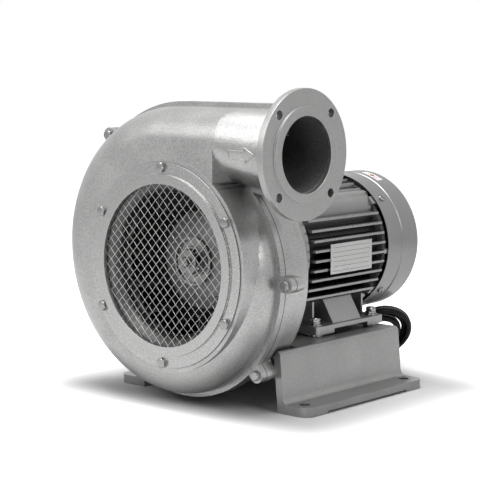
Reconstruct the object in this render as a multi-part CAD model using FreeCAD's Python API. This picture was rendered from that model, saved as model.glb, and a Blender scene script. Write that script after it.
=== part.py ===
import FreeCAD, Part
import math
import os

from FreeCAD import Vector

# Medium-pressure centrifugal fan with a foot-mounted motor. Millimetres, +Z up.
# The origin is on the floor, at the centre of the base's four bolt holes.
# The inlet faces -Y, the outlet +X, and the motor lies towards +Y.

# Driving dimensions: the shaft line
axis_height = 153.0
seam_y = -120.0

# Volute shells
wall = 5.0
front_depth = 50.5
rear_depth = 47.0
front_rounding = 36.0
rear_rounding = 8.0
right_margin = 5.5
bottom_reach = 141.0
left_reach = 163.0
top_reach = 163.5
tongue_radius = 124.0
lower_centre_z = -13.0
tongue_angle = 64.0
tongue_top = 86.0
flat_end_x = 68.0
lip_width = 5.0
lip_thickness = 8.0
boss_rim = 4.5
boss_height = 1.5
ring_recess = 3.2
inlet_hole_radius = 90.0
shaft_hole_radius = 24.0

# Seam lugs and screws
lug_radius = 8.0
lug_barrel_radius = 6.8
lug_outset = 7.0
lug_length = 14.0
seam_screw_radius = 3.0
seam_head_flats = 10.0
seam_head_height = 4.5
seam_screw_end = 2.0
base_lug_grip = 12.0
base_lug_length = 16.0
seam_lug_angles = [-6.0, -165.0, 172.0, 134.0]
base_lug_angles = [-51.0]

# Inlet ring, guard and nozzle
ring_rim = 5.25
ring_thickness = 3.5
ring_step_radius = 95.2
ring_step_height = 2.5
opening_radius = 84.8
ring_screw_set = 7.05
ring_screw_count = 6
ring_screw_radius = 3.0
ring_head_height = 4.0
ring_screw_grip = 10.0
ring_boss_wall = 4.0
ring_blind_depth = 1.0
mesh_wire = 1.0
mesh_pitch = 7.9
mesh_layer_gap = 0.1
mesh_rim_radius = 88.0
sheet = 1.2
throat_radius = 76.0
throat_depth = 16.0

# Outlet duct and flange
outlet_x = 147.5
duct_radius = 45.0
outlet_bore_radius = 38.5
flange_radius = 66.0
flange_thickness = 7.5
spigot_radius = 48.5
spigot_height = 2.0
outlet_bolt_circle = 114.0
outlet_hole_radius = 4.5
duct_seat_depth = 4.0
duct_clearance = 0.1

# Impeller
impeller_radius = 98.0
eye_radius = 79.0
blade_count = 12
blade_inner_radius = 60.0
blade_thickness = 1.6
backplate_edge_y = -92.0
backplate_bore = 13.5
hub_radius = 26.0
hub_rim_width = 2.5
hub_boss_wall = 2.5
hub_length = 34.0
impeller_bolt_depth = 22.0
hub_boss_radius = 16.0
hub_face_y = -130.0
hub_recess = 9.0
washer_radius = 13.0
washer_neck_radius = 8.0
impeller_bolt_flats = 10.0
shroud_edge_y = -130.0
shroud_eye_y = -151.0

# Motor
frame_radius = 66.0
frame_bore = 58.0
frame_front_y = -22.0
frame_length = 132.0
fin_tip_radius = 80.0
top_fin_tip_radius = 78.5
fin_thickness = 2.6
side_fin_pitch = 10.85
side_fin_count = 9
side_fin_shift = -5.0
top_fin_pitch = 9.35
top_fin_count = 12
fin_setback = 3.0
corner_block = [(30.0, 50.0), (47.0, 59.0), (52.7, 58.1), (59.0, 44.4), (59.0, 25.0), (40.0, 25.0)]
tie_circle_radius = 71.0
tie_angle = 53.0
tie_boss_wall = 4.0
tie_rod_radius = 2.5
tie_nut_flats = 9.0
shield_flange_radius = 60.0
shield_flange_thickness = 8.0
shield_wall = 5.0
shield_head_height = 4.0
shield_screw_grip = 10.0
shield_blind_depth = 2.0
shield_screw_set = 6.0
tie_head_height = 4.0
tie_head_set = 12.0
shaft_radius = 10.0
rear_shaft_radius = 8.5
key_slot_width = 6.0
key_width = 5.8
key_height = 6.0
key_setback = 2.0
key_length = 20.0
key_sunk = 0.8
shaft_running_gap = 0.05
drive_bearing_radius = 23.5
drive_bearing_width = 14.0
rear_bearing_radius = 20.0
rear_bearing_width = 12.0
air_gap = 0.5
stator_bore = 34.0
stator_length = 70.0

# Motor foot
foot_centre_y = 43.0
foot_bolt_x = 70.0
foot_bolt_spacing_y = 100.0
foot_half_width = 81.0
foot_length = 119.0
foot_thickness = 9.0
foot_recess = 4.5
foot_recess_length = 60.0
foot_web_length = 50.0
foot_web_top = 60.0
foot_web_bottom = 75.0
foot_hole_radius = 5.0
foot_bolt_radius = 4.0
foot_head_flats = 13.0
foot_head_height = 5.3
foot_spacer_thickness = 2.5
foot_washer_thickness = 1.6
foot_spring_thickness = 2.2
foot_washer_radius = 8.5

# Fan cowl and cooling fan
cowl_radius = 80.2
cowl_step = 0.8
cowl_step_y = 141.0
cowl_front_y = 113.5
cowl_length = 61.5
cowl_sheet = 1.5
cowl_rounding = 8.0
cowl_screw_angle = 42.0
cowl_screw_set = 16.0
cowl_screw_radius = 2.0
cowl_screw_root = 4.0
cowl_head_radius = 4.0
cowl_head_height = 2.2
cowl_lug_width = 10.0
cowl_pad_width = 5.0
cowl_pad_angles = [-4.0, 184.0]
shield_rim = 5.0
cooling_fan_radius = 66.0
cooling_fan_width = 20.0
cooling_blade_count = 7

# Terminal box, on the side away from the outlet
box_depth = 40.0
box_length = 84.0
box_height = 84.0
box_wall = 3.5
lid_thickness = 5.0
gasket_thickness = 1.5
box_corner = 6.0
lid_post_radius = 5.0
lid_post_inset = 8.0
lid_screw_radius = 2.0
lid_head_radius = 4.0
lid_head_height = 2.5
lid_screw_grip = 10.0
lid_blind_depth = 2.0
block_depth = 14.0
block_length = 44.0
block_height = 22.0
block_drop = 19.0
stud_radius = 2.0
stud_length = 6.0
stud_sunk = 1.0
stud_pitch = 13.0
gland_radius = 10.0
gland_length = 14.0
gland_nut_length = 12.0

# Base bracket
base_height = 65.0
base_length = 207.0
base_top_half_width = 101.0
base_wall = 8.0
base_flange_width = 32.0
base_draft = 5.0
base_flange_thickness = 10.0
base_relief = 2.5
base_pad_length = 34.0
base_corner = 12.0
base_foot_bend = 7.0
base_top_bend = 5.0
base_hole_inset = 17.0
base_hole_end = 16.0
base_hole_radius = 6.0
base_clearance = 3.0

# Cable
cable_radius = 3.6
coil_radius = 32.0
coil_bundle_radius = 10.8
coil_tilt = 55.0
coil_bearing = 146.0
coil_x = 14.0
coil_y = 183.0
tie_width = 4.0
tie_thickness = 1.2
tie_clearance = 0.2
tie_place_angle = 60.0
plug_radius = 17.5
plug_length = 38.0
plug_place = (-78.0, 214.0, 17.5)
plug_route = [(38.0, 0.0, 0.0), (54.0, 0.0, 0.0), (76.0, 1.0, -10.0), (96.0, 1.0, -8.0),
              (108.0, -4.0, 10.0)]
pin_radius = 2.4
pin_length = 19.0
pin_spacing = 19.0

# Rating plate, left bare
plate_y = (6.0, 80.0)
plate_z = (132.0, 165.0)
plate_thickness = 0.8
plate_seat_x = 79.8
rivet_radius = 1.8
cable_route = [(-98.0, 0.0, 152.0), (-98.0, 20.0, 152.0), (-98.0, 40.0, 134.0), (-97.0, 47.0, 104.0),
               (-94.0, 47.0, 70.0), (-88.0, 45.0, 36.0), (-72.0, 44.0, 8.0), (-50.0, 50.0, 3.8),
               (-28.0, 62.0, 3.8), (-8.0, 76.0, 7.0)]

front_face_y = seam_y - front_depth
rear_face_y = seam_y + rear_depth
boss_face_y = front_face_y - boss_height
duct_centre_z = top_reach - duct_radius
duct_end_x = outlet_x - flange_thickness + duct_seat_depth
base_front_y = -base_length / 2
frame_rear_y = frame_front_y + frame_length
ring_seat_y = boss_face_y + ring_recess
ring_screw_circle = ring_step_radius + ring_screw_set
ring_radius = ring_screw_circle + ring_rim
boss_radius = ring_radius + boss_rim
right_reach = boss_radius + right_margin
base_foot_half_width = base_top_half_width + base_draft
base_half_width = base_foot_half_width + base_flange_width
base_hole_spacing_x = 2 * (base_half_width - base_hole_inset)
base_hole_spacing_y = base_length - 2 * base_hole_end
foot_top_z = base_height + foot_spacer_thickness + foot_thickness
cowl_rear_y = cowl_front_y + cowl_length
parts = {}


def box(x0, x1, y0, y1, z0, z1):
    return Part.makeBox(x1 - x0, y1 - y0, z1 - z0, Vector(x0, y0, z0))


def rod_y(radius, y0, y1, x=0.0, z=0.0):
    """A cylinder along Y; x and z are measured from the shaft line."""
    return Part.makeCylinder(radius, y1 - y0, Vector(x, y0, axis_height + z), Vector(0, 1, 0))


def ring_y(outer, inner, y0, y1, x=0.0, z=0.0):
    return rod_y(outer, y0, y1, x, z).cut(rod_y(inner, y0 - 1, y1 + 1, x, z))


def rod_x(radius, x0, x1, y, z):
    return Part.makeCylinder(radius, x1 - x0, Vector(x0, y, z), Vector(1, 0, 0))


def rod_z(radius, z0, z1, x, y):
    return Part.makeCylinder(radius, z1 - z0, Vector(x, y, z0), Vector(0, 0, 1))


def hexagon(flats, length, start, direction):
    """A hexagonal prism from a point along a direction."""
    corner = flats / math.sqrt(3)
    points = [Vector(corner * math.cos(math.radians(60 * k)), corner * math.sin(math.radians(60 * k)), 0)
              for k in range(7)]
    prism = Part.Face(Part.makePolygon(points)).extrude(Vector(0, 0, length))
    turn = FreeCAD.Rotation(Vector(0, 0, 1), Vector(*direction))
    prism.Placement = FreeCAD.Placement(Vector(*start), turn)
    return prism


def polygon_prism(points, plane, low, high):
    """A prism of a closed outline; plane "xz" runs along Y from the shaft line's height, "yz" along X."""
    if plane == "xz":
        corners = [Vector(a, low, axis_height + b) for a, b in points]
        along = Vector(0, high - low, 0)
    else:
        corners = [Vector(low, a, b) for a, b in points]
        along = Vector(high - low, 0, 0)
    return Part.Face(Part.makePolygon(corners + corners[:1])).extrude(along)


def turned(profile, centre=(0.0, 0.0), start=0.0, span=360.0):
    """Turns (radius, y) points about an axis along Y. A point with four numbers ends an arc
    that passes through its last two."""
    origin = Vector(centre[0], 0, axis_height + centre[1])
    out = Vector(math.cos(math.radians(start)), 0, math.sin(math.radians(start)))

    def place(radius, y):
        return origin + out * radius + Vector(0, y, 0)

    edges = []
    last = place(*profile[0][:2])
    for point in list(profile[1:]) + [profile[0]]:
        here = place(*point[:2])
        if len(point) == 4:
            edges.append(Part.Arc(last, place(*point[2:]), here).toShape())
        elif last.distanceToPoint(here) > 1e-6:
            edges.append(Part.LineSegment(last, here).toShape())
        last = here
    return Part.Face(Part.Wire(edges)).revolve(origin, Vector(0, -1, 0), span)


def fused(shapes):
    whole = shapes[0].multiFuse(shapes[1:]) if len(shapes) > 1 else shapes[0]
    return whole.removeSplitter()


def scroll_arcs(grow):
    """The scroll's four arcs and the tongue's, as centre x, centre z, radius, start and end angle."""
    bottom_radius = bottom_reach + lower_centre_z
    bottom_x = right_reach - bottom_radius
    left_radius = left_reach + bottom_x
    left_z = left_radius - bottom_reach
    top_radius = top_reach - left_z
    top_x = top_radius - left_reach
    return [(right_reach - tongue_radius, lower_centre_z, tongue_radius + grow, 0.0, tongue_angle),
            (bottom_x, lower_centre_z, bottom_radius + grow, -90.0, 0.0),
            (bottom_x, left_z, left_radius + grow, -180.0, -90.0),
            (top_x, left_z, top_radius + grow, 90.0, 180.0)]


def outline_point(angle, outset):
    """The point of the scroll's outline at an angle seen from the shaft line, moved outwards."""
    ray = (math.cos(math.radians(angle)), math.sin(math.radians(angle)))
    turn = angle % 360.0
    arcs = scroll_arcs(0.0)
    arc = arcs[0] if turn < 90 else arcs[3] if turn < 180 else arcs[2] if turn < 270 else arcs[1]
    along = ray[0] * arc[0] + ray[1] * arc[1]
    reach = along + math.sqrt(along ** 2 - arc[0] ** 2 - arc[1] ** 2 + arc[2] ** 2)
    return ray[0] * (reach + outset), ray[1] * (reach + outset)


def scroll_body(grow, seam, face, rounding):
    """The scroll between its seam plane and a flat face whose edge is rounded."""
    side = 1.0 if face > seam else -1.0
    slack = rounding * (1 - math.cos(math.radians(45)))
    pieces = []
    for x, z, radius, start, end in scroll_arcs(grow):
        profile = [(0.0, seam), (radius, seam), (radius, face - side * rounding),
                   (radius - rounding, face, radius - slack, face - side * slack), (0.0, face)]
        pieces.append(turned(profile, (x, z), start, end - start))
    top = axis_height + top_reach + grow
    low = axis_height + lower_centre_z
    points = [Vector(0, seam, low), Vector(0, seam, top), Vector(0, face - side * rounding, top),
              Vector(0, face, top - rounding), Vector(0, face, low)]
    edges = [Part.LineSegment(points[0], points[1]).toShape(),
             Part.LineSegment(points[1], points[2]).toShape(),
             Part.Arc(points[2], Vector(0, face - side * slack, top - slack), points[3]).toShape(),
             Part.LineSegment(points[3], points[4]).toShape(),
             Part.LineSegment(points[4], points[0]).toShape()]
    top_x = scroll_arcs(grow)[3][0]
    block = Part.Face(Part.Wire(edges)).extrude(Vector(flat_end_x + grow - top_x, 0, 0))
    block.translate(Vector(top_x, 0, 0))
    inside_boss = rod_y(boss_radius - 3, min(seam, face), max(seam, face))
    above = box(top_x - 1, flat_end_x + grow, min(seam, face) - 1, max(seam, face) + 1,
                axis_height + 60, axis_height + top_reach + grow + 1)
    pieces.append(block.common(fused([inside_boss, above])))
    pieces.append(rod_y(60.0, min(seam, face), max(seam, face)))
    return fused(pieces)


def quarter_ellipse(x, y_reach, z_centre, z_reach):
    """A quarter of an ellipse below its centre, from its widest point to its lowest."""
    centre = Vector(x, seam_y, z_centre)
    ends = [centre + Vector(0, y_reach, 0), centre - Vector(0, 0, z_reach)]
    ends.sort(key=centre.distanceToPoint, reverse=True)
    return Part.Ellipse(ends[0], ends[1], centre).toShape(0.0, math.pi / 2)


def duct_root(inset, x):
    """The duct's first section: the scroll's own rounded top above a half ellipse."""
    front, rear = front_depth - inset, rear_depth - inset
    corner = front_rounding - inset
    top = axis_height + top_reach - inset
    middle = top - corner
    slack = corner * (1 - math.cos(math.radians(45)))
    drop = middle - (axis_height + tongue_top + inset)
    front_top = Part.Arc(Vector(x, seam_y - front + corner, top),
                         Vector(x, seam_y - front + slack, top - slack),
                         Vector(x, seam_y - front, middle)).toShape()
    rear_top = Part.Arc(Vector(x, seam_y + rear, middle), Vector(x, seam_y + rear - slack, top - slack),
                        Vector(x, seam_y + rear - corner, top)).toShape()
    ridge = Part.LineSegment(Vector(x, seam_y + rear - corner, top),
                             Vector(x, seam_y - front + corner, top)).toShape()
    return Part.Wire([front_top, quarter_ellipse(x, -front, middle, drop),
                      quarter_ellipse(x, rear, middle, drop),
                      rear_top, ridge])


def duct_end(radius, x):
    """The duct's last section: a circle, parted where the first section has its corners."""
    centre_z = axis_height + duct_centre_z

    def on_circle(angle):
        return Vector(x, seam_y + radius * math.cos(math.radians(angle)),
                      centre_z + radius * math.sin(math.radians(angle)))

    stops = [107.0, 180.0, 270.0, 360.0, 437.0, 467.0]
    return Part.Wire([Part.Arc(on_circle(a), on_circle((a + b) / 2), on_circle(b)).toShape()
                      for a, b in zip(stops, stops[1:])])


def duct_body(inset, end_radius, root_x, end_x):
    """The duct, whose top stays level with the scroll's while its floor drops to the round flange."""
    return Part.makeLoft([duct_root(inset, root_x), duct_end(end_radius, end_x)], True, True)


def lip_body(low, high):
    """The screwed lip round both shells, at the seam."""
    pieces = [turned([(0.0, low), (radius, low), (radius, high), (0.0, high)], (x, z), start, end - start)
              for x, z, radius, start, end in scroll_arcs(lip_width)]
    back_x = outlet_x - flange_thickness
    bottom = top_reach - 2 * duct_radius - lip_width
    top_x = scroll_arcs(0.0)[3][0]
    pieces.append(polygon_prism([(top_x, 0), (top_x, top_reach + lip_width),
                                 (back_x, top_reach + lip_width),
                                 (back_x, bottom), (flat_end_x, tongue_top - lip_width), (40, 40)],
                                "xz", low, high))
    return fused(pieces)


def cavity():
    """The air space inside both shells and the duct."""
    front = scroll_body(-wall, seam_y, front_face_y + wall, front_rounding - wall)
    rear = scroll_body(-wall, seam_y, rear_face_y - wall, max(rear_rounding - wall, 1.0))
    duct = duct_body(wall, outlet_bore_radius, flat_end_x - wall, outlet_x + 1)
    return fused([front, rear, duct])


def lug_shape(angle, low, high, hole, size):
    x, z = outline_point(angle, lip_width + lug_outset)
    inner_x, inner_z = outline_point(angle, -wall / 2)
    across = (-math.sin(math.radians(angle)) * size, math.cos(math.radians(angle)) * size)
    web = polygon_prism([(x + across[0], z + across[1]), (x - across[0], z - across[1]),
                         (inner_x - across[0], inner_z - across[1]),
                         (inner_x + across[0], inner_z + across[1])],
                        "xz", low, high)
    return fused([rod_y(size, low, high, x, z), web]).cut(rod_y(hole, low - 1, high + 1, x, z))


def make_shells():
    air = cavity()
    duct = duct_body(0.0, duct_radius, flat_end_x, duct_end_x)
    far = 400.0
    front_side = box(-far, far, -far, seam_y, -far, far)
    rear_side = box(-far, far, seam_y, far, -far, far)
    lug_angles = seam_lug_angles + base_lug_angles
    front = [scroll_body(0.0, seam_y, front_face_y, front_rounding), duct.common(front_side),
             lip_body(seam_y - lip_thickness, seam_y), rod_y(boss_radius, boss_face_y, seam_y)]
    front += [lug_shape(a, seam_y - lip_thickness, seam_y, seam_screw_radius,
                        lug_radius) for a in lug_angles]
    front = fused(front).cut(air).cut(rod_y(inlet_hole_radius, boss_face_y - 1, seam_y))
    front = front.cut(rod_y(ring_radius + 0.3, boss_face_y - 1, ring_seat_y))
    front = fused([front] + [rod_y(ring_screw_radius + ring_boss_wall, ring_seat_y,
                                   ring_seat_y + ring_screw_grip + ring_blind_depth, x, z)
                             for x, z in ring_screw_places()])
    for x, z in ring_screw_places():
        front = front.cut(rod_y(ring_screw_radius, boss_face_y - 1,
                                ring_seat_y + ring_screw_grip + 2 * ring_blind_depth, x, z))
    parts["front_volute_shell"] = front
    rear = [scroll_body(0.0, seam_y, rear_face_y, rear_rounding), duct.common(rear_side),
            lip_body(seam_y, seam_y + lip_thickness)]
    rear += [lug_shape(a, seam_y, seam_y + lip_thickness, seam_screw_radius,
                       lug_radius) for a in lug_angles]
    rear += [lug_shape(a, seam_y, seam_y + lug_length, seam_screw_radius, lug_barrel_radius)
             for a in seam_lug_angles]
    rear += [lug_shape(a, seam_y, base_front_y, seam_screw_radius,
                       lug_barrel_radius) for a in base_lug_angles]
    rear = fused(rear).cut(air).cut(rod_y(shaft_hole_radius, seam_y, rear_face_y + 1))
    for x, z in shield_screw_places():
        rear = rear.cut(rod_y(seam_screw_radius, rear_face_y - wall - 1, rear_face_y + 1, x, z))
    parts["rear_volute_shell"] = rear


def ring_screw_places():
    step = 360.0 / ring_screw_count
    return [(ring_screw_circle * math.cos(math.radians(30 + k * step)),
             ring_screw_circle * math.sin(math.radians(30 + k * step))) for k in range(ring_screw_count)]


def shield_screw_places():
    reach = (shield_flange_radius + shaft_hole_radius) / 2 + shield_screw_set
    return [(reach * math.cos(math.radians(45 + 90 * k)), reach * math.sin(math.radians(45 + 90 * k)))
            for k in range(4)]


def screw_y(radius, flats, head, y_seat, y_tip, x, z):
    """A hex screw along +Y whose head stands in front of its seat."""
    shank = rod_y(radius - 0.2, y_seat, y_tip, x, z)
    return fused([hexagon(flats, head, (x, y_seat - head, axis_height + z), (0, 1, 0)), shank])


def make_seam_screws():
    seat = seam_y - lip_thickness
    parts["volute_seam_screws"] = Part.Compound(
        [screw_y(seam_screw_radius, seam_head_flats, seam_head_height, seat,
                 seam_y + lug_length - seam_screw_end,
                 *outline_point(a, lip_width + lug_outset)) for a in seam_lug_angles])
    parts["base_lug_screws"] = Part.Compound(
        [screw_y(seam_screw_radius, seam_head_flats, seam_head_height, seat, base_front_y + base_lug_grip,
                 *outline_point(a, lip_width + lug_outset)) for a in base_lug_angles])


def make_inlet():
    nozzle_face = ring_seat_y - sheet
    throat_y = ring_seat_y + throat_depth
    lip = inlet_hole_radius - 2.0
    bend = (0.72 * throat_radius + 0.28 * lip, ring_seat_y + 0.32 * throat_depth)
    profile = [(ring_radius, nozzle_face), (ring_radius, ring_seat_y), (lip, ring_seat_y),
               (throat_radius, throat_y, *bend), (throat_radius - sheet, throat_y),
               (lip - sheet, nozzle_face, bend[0] - sheet, bend[1] - 0.6 * sheet)]
    nozzle = turned(profile)
    seat = nozzle_face - ring_thickness
    ring = turned([(opening_radius, nozzle_face), (ring_radius, nozzle_face), (ring_radius, seat),
                   (ring_step_radius, seat), (ring_step_radius, seat - ring_step_height),
                   (opening_radius, seat - ring_step_height)])
    groove_depth = 2.4 * mesh_wire
    ring = ring.cut(rod_y(mesh_rim_radius + 0.2, nozzle_face - groove_depth, nozzle_face + 1))
    screws = []
    for x, z in ring_screw_places():
        ring = ring.cut(rod_y(ring_screw_radius, seat - 5, nozzle_face + 1, x, z))
        nozzle = nozzle.cut(rod_y(ring_screw_radius, nozzle_face - 1, ring_seat_y + 1, x, z))
        screws.append(screw_y(ring_screw_radius, seam_head_flats, ring_head_height, seat,
                              ring_seat_y + ring_screw_grip, x, z))
    parts["inlet_nozzle"] = nozzle
    parts["inlet_ring"] = ring
    parts["inlet_ring_screws"] = Part.Compound(screws)
    parts["inlet_mesh_guard"] = mesh_guard(nozzle_face - groove_depth, nozzle_face)


def mesh_guard(y0, y1):
    """Two layers of straight wires at right angles, each welded to a flat rim of its own depth."""
    middle = (y0 + y1) / 2
    rim = ring_y(mesh_rim_radius, opening_radius - 1.5, y0, y1)
    wires = [rim]
    reach = opening_radius - 0.5
    count = int(reach / mesh_pitch)
    for k in range(-count, count + 1):
        offset = k * mesh_pitch
        half = math.sqrt(max(reach ** 2 - offset ** 2, 1.0))
        for low, turn in ((middle - mesh_wire - mesh_layer_gap / 2, 45.0), (middle + mesh_layer_gap / 2,
                                                                            -45.0)):
            wire = box(-half, half, low, low + mesh_wire, -mesh_wire / 2, mesh_wire / 2)
            wire.translate(Vector(0, 0, offset))
            wire.rotate(Vector(0, 0, 0), Vector(0, 1, 0), turn)
            wire.translate(Vector(0, 0, axis_height))
            wires.append(wire)
    return wires[0].multiFuse(wires[1:])


def outlet_hole_places():
    reach = outlet_bolt_circle / 2
    return [(seam_y + reach * math.cos(math.radians(45 + 90 * k)),
             axis_height + duct_centre_z + reach * math.sin(math.radians(45 + 90 * k))) for k in range(4)]


def make_outlet_flange():
    back = outlet_x - flange_thickness
    z = axis_height + duct_centre_z
    flange = fused([rod_x(flange_radius, back, outlet_x, seam_y, z),
                    rod_x(spigot_radius, outlet_x, outlet_x + spigot_height, seam_y, z)])
    flange = flange.cut(rod_x(outlet_bore_radius, back - 1, outlet_x + spigot_height + 1, seam_y, z))
    flange = flange.cut(duct_body(-duct_clearance, duct_radius + duct_clearance, flat_end_x, duct_end_x))
    for y, hole_z in outlet_hole_places():
        flange = flange.cut(rod_x(outlet_hole_radius, back - 1, outlet_x + 1, y, hole_z))
    parts["outlet_flange"] = flange


def make_impeller():
    rise = backplate_edge_y - hub_face_y
    bend = ((hub_radius + impeller_radius) / 2 - 4, hub_face_y + 0.42 * rise)
    plate_front = hub_face_y + 6
    backplate = turned([(backplate_bore, plate_front), (hub_radius, plate_front),
                        (impeller_radius, backplate_edge_y - 2, bend[0], bend[1] + 3),
                        (impeller_radius, backplate_edge_y),
                        (hub_radius, hub_face_y + 8, bend[0], bend[1] + 5.4),
                        (backplate_bore, hub_face_y + 8)])
    bore = shaft_radius + shaft_running_gap
    recess_y = hub_face_y + hub_recess
    rim_y = plate_front - 4.5
    hub = turned([(bore, recess_y), (hub_boss_radius - hub_boss_wall, recess_y),
                  (hub_boss_radius - hub_boss_wall, hub_face_y), (hub_boss_radius, hub_face_y),
                  (hub_boss_radius, plate_front - 0.8), (hub_radius - hub_rim_width, plate_front - 0.8),
                  (hub_radius - hub_rim_width, rim_y), (hub_radius, rim_y),
                  (hub_radius, plate_front), (backplate_bore - 0.2, plate_front),
                  (backplate_bore - 0.2, plate_front + 2), (hub_radius - 8, plate_front + 2),
                  (hub_radius - 8, hub_face_y + hub_length), (bore, hub_face_y + hub_length)])
    slot = box(-key_slot_width / 2, key_slot_width / 2, hub_face_y - 1, hub_face_y + hub_length + 1,
               axis_height + shaft_radius - key_height / 2, axis_height + shaft_radius + key_height / 2)
    parts["impeller_hub"] = hub.cut(slot)
    parts["impeller_backplate"] = backplate
    shroud_bend = ((eye_radius + impeller_radius) / 2 - 3, shroud_edge_y - 6)
    shroud = turned([(eye_radius, shroud_eye_y - 4), (eye_radius + 1.6, shroud_eye_y - 4),
                     (eye_radius + 1.6, shroud_eye_y),
                     (impeller_radius, shroud_edge_y - 2, *shroud_bend), (impeller_radius, shroud_edge_y),
                     (eye_radius, shroud_eye_y + 2, shroud_bend[0] - 0.6, shroud_bend[1] + 2)])
    parts["impeller_shroud"] = shroud
    parts["impeller_blades"] = impeller_blades(backplate, shroud)
    washer_y = hub_face_y - 3.5
    washer = fused([ring_y(washer_radius, 5.2, washer_y - 3, washer_y),
                    ring_y(washer_neck_radius, 5.2, washer_y, recess_y)])
    bolt = fused([hexagon(impeller_bolt_flats, 5.0, (0, washer_y - 8, axis_height), (0, 1, 0)),
                  rod_y(5.0, washer_y - 3, hub_face_y + impeller_bolt_depth)])
    parts["impeller_washer"] = washer
    parts["impeller_bolt"] = bolt


def impeller_blades(backplate, shroud):
    """Backward-curved sheet blades between the back plate and the shroud."""
    inner = blade_inner_radius
    outer = impeller_radius - 0.5
    sweep = math.radians(-38)
    bulge = math.radians(-12)
    middle = (inner + outer) / 2
    low, high = shroud_eye_y + 2, backplate_edge_y

    def blade_arc(shift):
        return [Vector(r * math.cos(a) + shift * math.sin(a), 0, r * math.sin(a) - shift * math.cos(a))
                for r, a in ((inner, 0.0), (middle, bulge), (outer, sweep))]

    one, two = blade_arc(-blade_thickness / 2), blade_arc(blade_thickness / 2)
    wire = Part.Wire([Part.Arc(*one).toShape(), Part.LineSegment(one[2], two[2]).toShape(),
                      Part.Arc(two[2], two[1], two[0]).toShape(),
                      Part.LineSegment(two[0], one[0]).toShape()])
    blade = Part.Face(wire).extrude(Vector(0, high - low, 0))
    blade.translate(Vector(0, low, axis_height))
    room = blade_room()
    blade = blade.common(room)
    blades = []
    for k in range(blade_count):
        copy = blade.copy()
        copy.rotate(Vector(0, 0, axis_height), Vector(0, 1, 0), k * 360.0 / blade_count)
        blades.append(copy)
    return Part.Compound(blades)


def blade_room():
    """The space between back plate and shroud, where the blades lie."""
    rise = backplate_edge_y - hub_face_y
    bend = ((hub_radius + impeller_radius) / 2 - 4, hub_face_y + 0.42 * rise)
    shroud_bend = ((eye_radius + impeller_radius) / 2 - 3, shroud_edge_y - 6)
    return turned([(hub_radius, hub_face_y + 6), (impeller_radius, backplate_edge_y - 2, bend[0],
                                                  bend[1] + 3),
                   (impeller_radius, shroud_edge_y),
                   (eye_radius, shroud_eye_y + 2, shroud_bend[0] - 0.6, shroud_bend[1] + 2),
                   (hub_radius, shroud_eye_y + 2)])


def make_motor_frame():
    body = ring_y(frame_radius, frame_bore, frame_front_y, frame_rear_y)
    fin_y0, fin_y1 = frame_front_y + fin_setback, frame_rear_y - fin_setback
    fins = []
    root = frame_bore + 3
    for k in range(side_fin_count):
        z = side_fin_shift + ((side_fin_count - 1) / 2 - k) * side_fin_pitch
        inner = math.sqrt(max(root ** 2 - z ** 2, 0.0))
        tip = math.sqrt(fin_tip_radius ** 2 - (abs(z) + fin_thickness / 2) ** 2)
        for x0, x1 in ((inner, tip), (-tip, -inner)):
            fins.append(box(x0, x1, fin_y0, fin_y1, axis_height + z - fin_thickness / 2,
                            axis_height + z + fin_thickness / 2))
    for k in range(top_fin_count):
        x = (k - (top_fin_count - 1) / 2) * top_fin_pitch
        inner = math.sqrt(root ** 2 - x ** 2)
        tip = math.sqrt(top_fin_tip_radius ** 2 - (abs(x) + fin_thickness / 2) ** 2)
        fins.append(box(x - fin_thickness / 2, x + fin_thickness / 2, fin_y0, fin_y1,
                        axis_height + inner, axis_height + tip))
    for side in (-1, 1):
        fins.append(polygon_prism([(side * x, z) for x, z in corner_block], "xz", fin_y0, fin_y1))
    for x, z in tie_places():
        fins.append(rod_y(tie_rod_radius + tie_boss_wall, frame_front_y, frame_rear_y, x, z))
    frame = fused([body] + fins)
    frame = frame.cut(rod_y(frame_bore, frame_front_y - 1, frame_rear_y + 1))
    for x, z in tie_places():
        frame = frame.cut(rod_y(tie_rod_radius + 0.3, frame_front_y - 1, frame_rear_y + 1, x, z))
    y0, y1, z0, z1 = box_span()
    frame = frame.cut(box(-frame_radius - 60, -frame_radius - 4, y0 - 2, y1 + 2, z0 - 2, z1 + 2))
    seat = box(-frame_radius - 4, -frame_bore - 2, y0, y1, axis_height - 26, axis_height + 26)
    frame = fused([frame, seat.cut(rod_y(frame_bore + 1, y0 - 1, y1 + 1))])
    parts["motor_frame"] = frame


def tie_places():
    return [(tie_circle_radius * math.cos(math.radians(a)), tie_circle_radius * math.sin(math.radians(a)))
            for a in (tie_angle, 180 - tie_angle, 180 + tie_angle, -tie_angle)]


def box_span():
    """The terminal box's near and far Y and its lowest and highest Z."""
    return (foot_centre_y - box_length / 2, foot_centre_y + box_length / 2,
            axis_height - box_height / 2, axis_height + box_height / 2)


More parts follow.
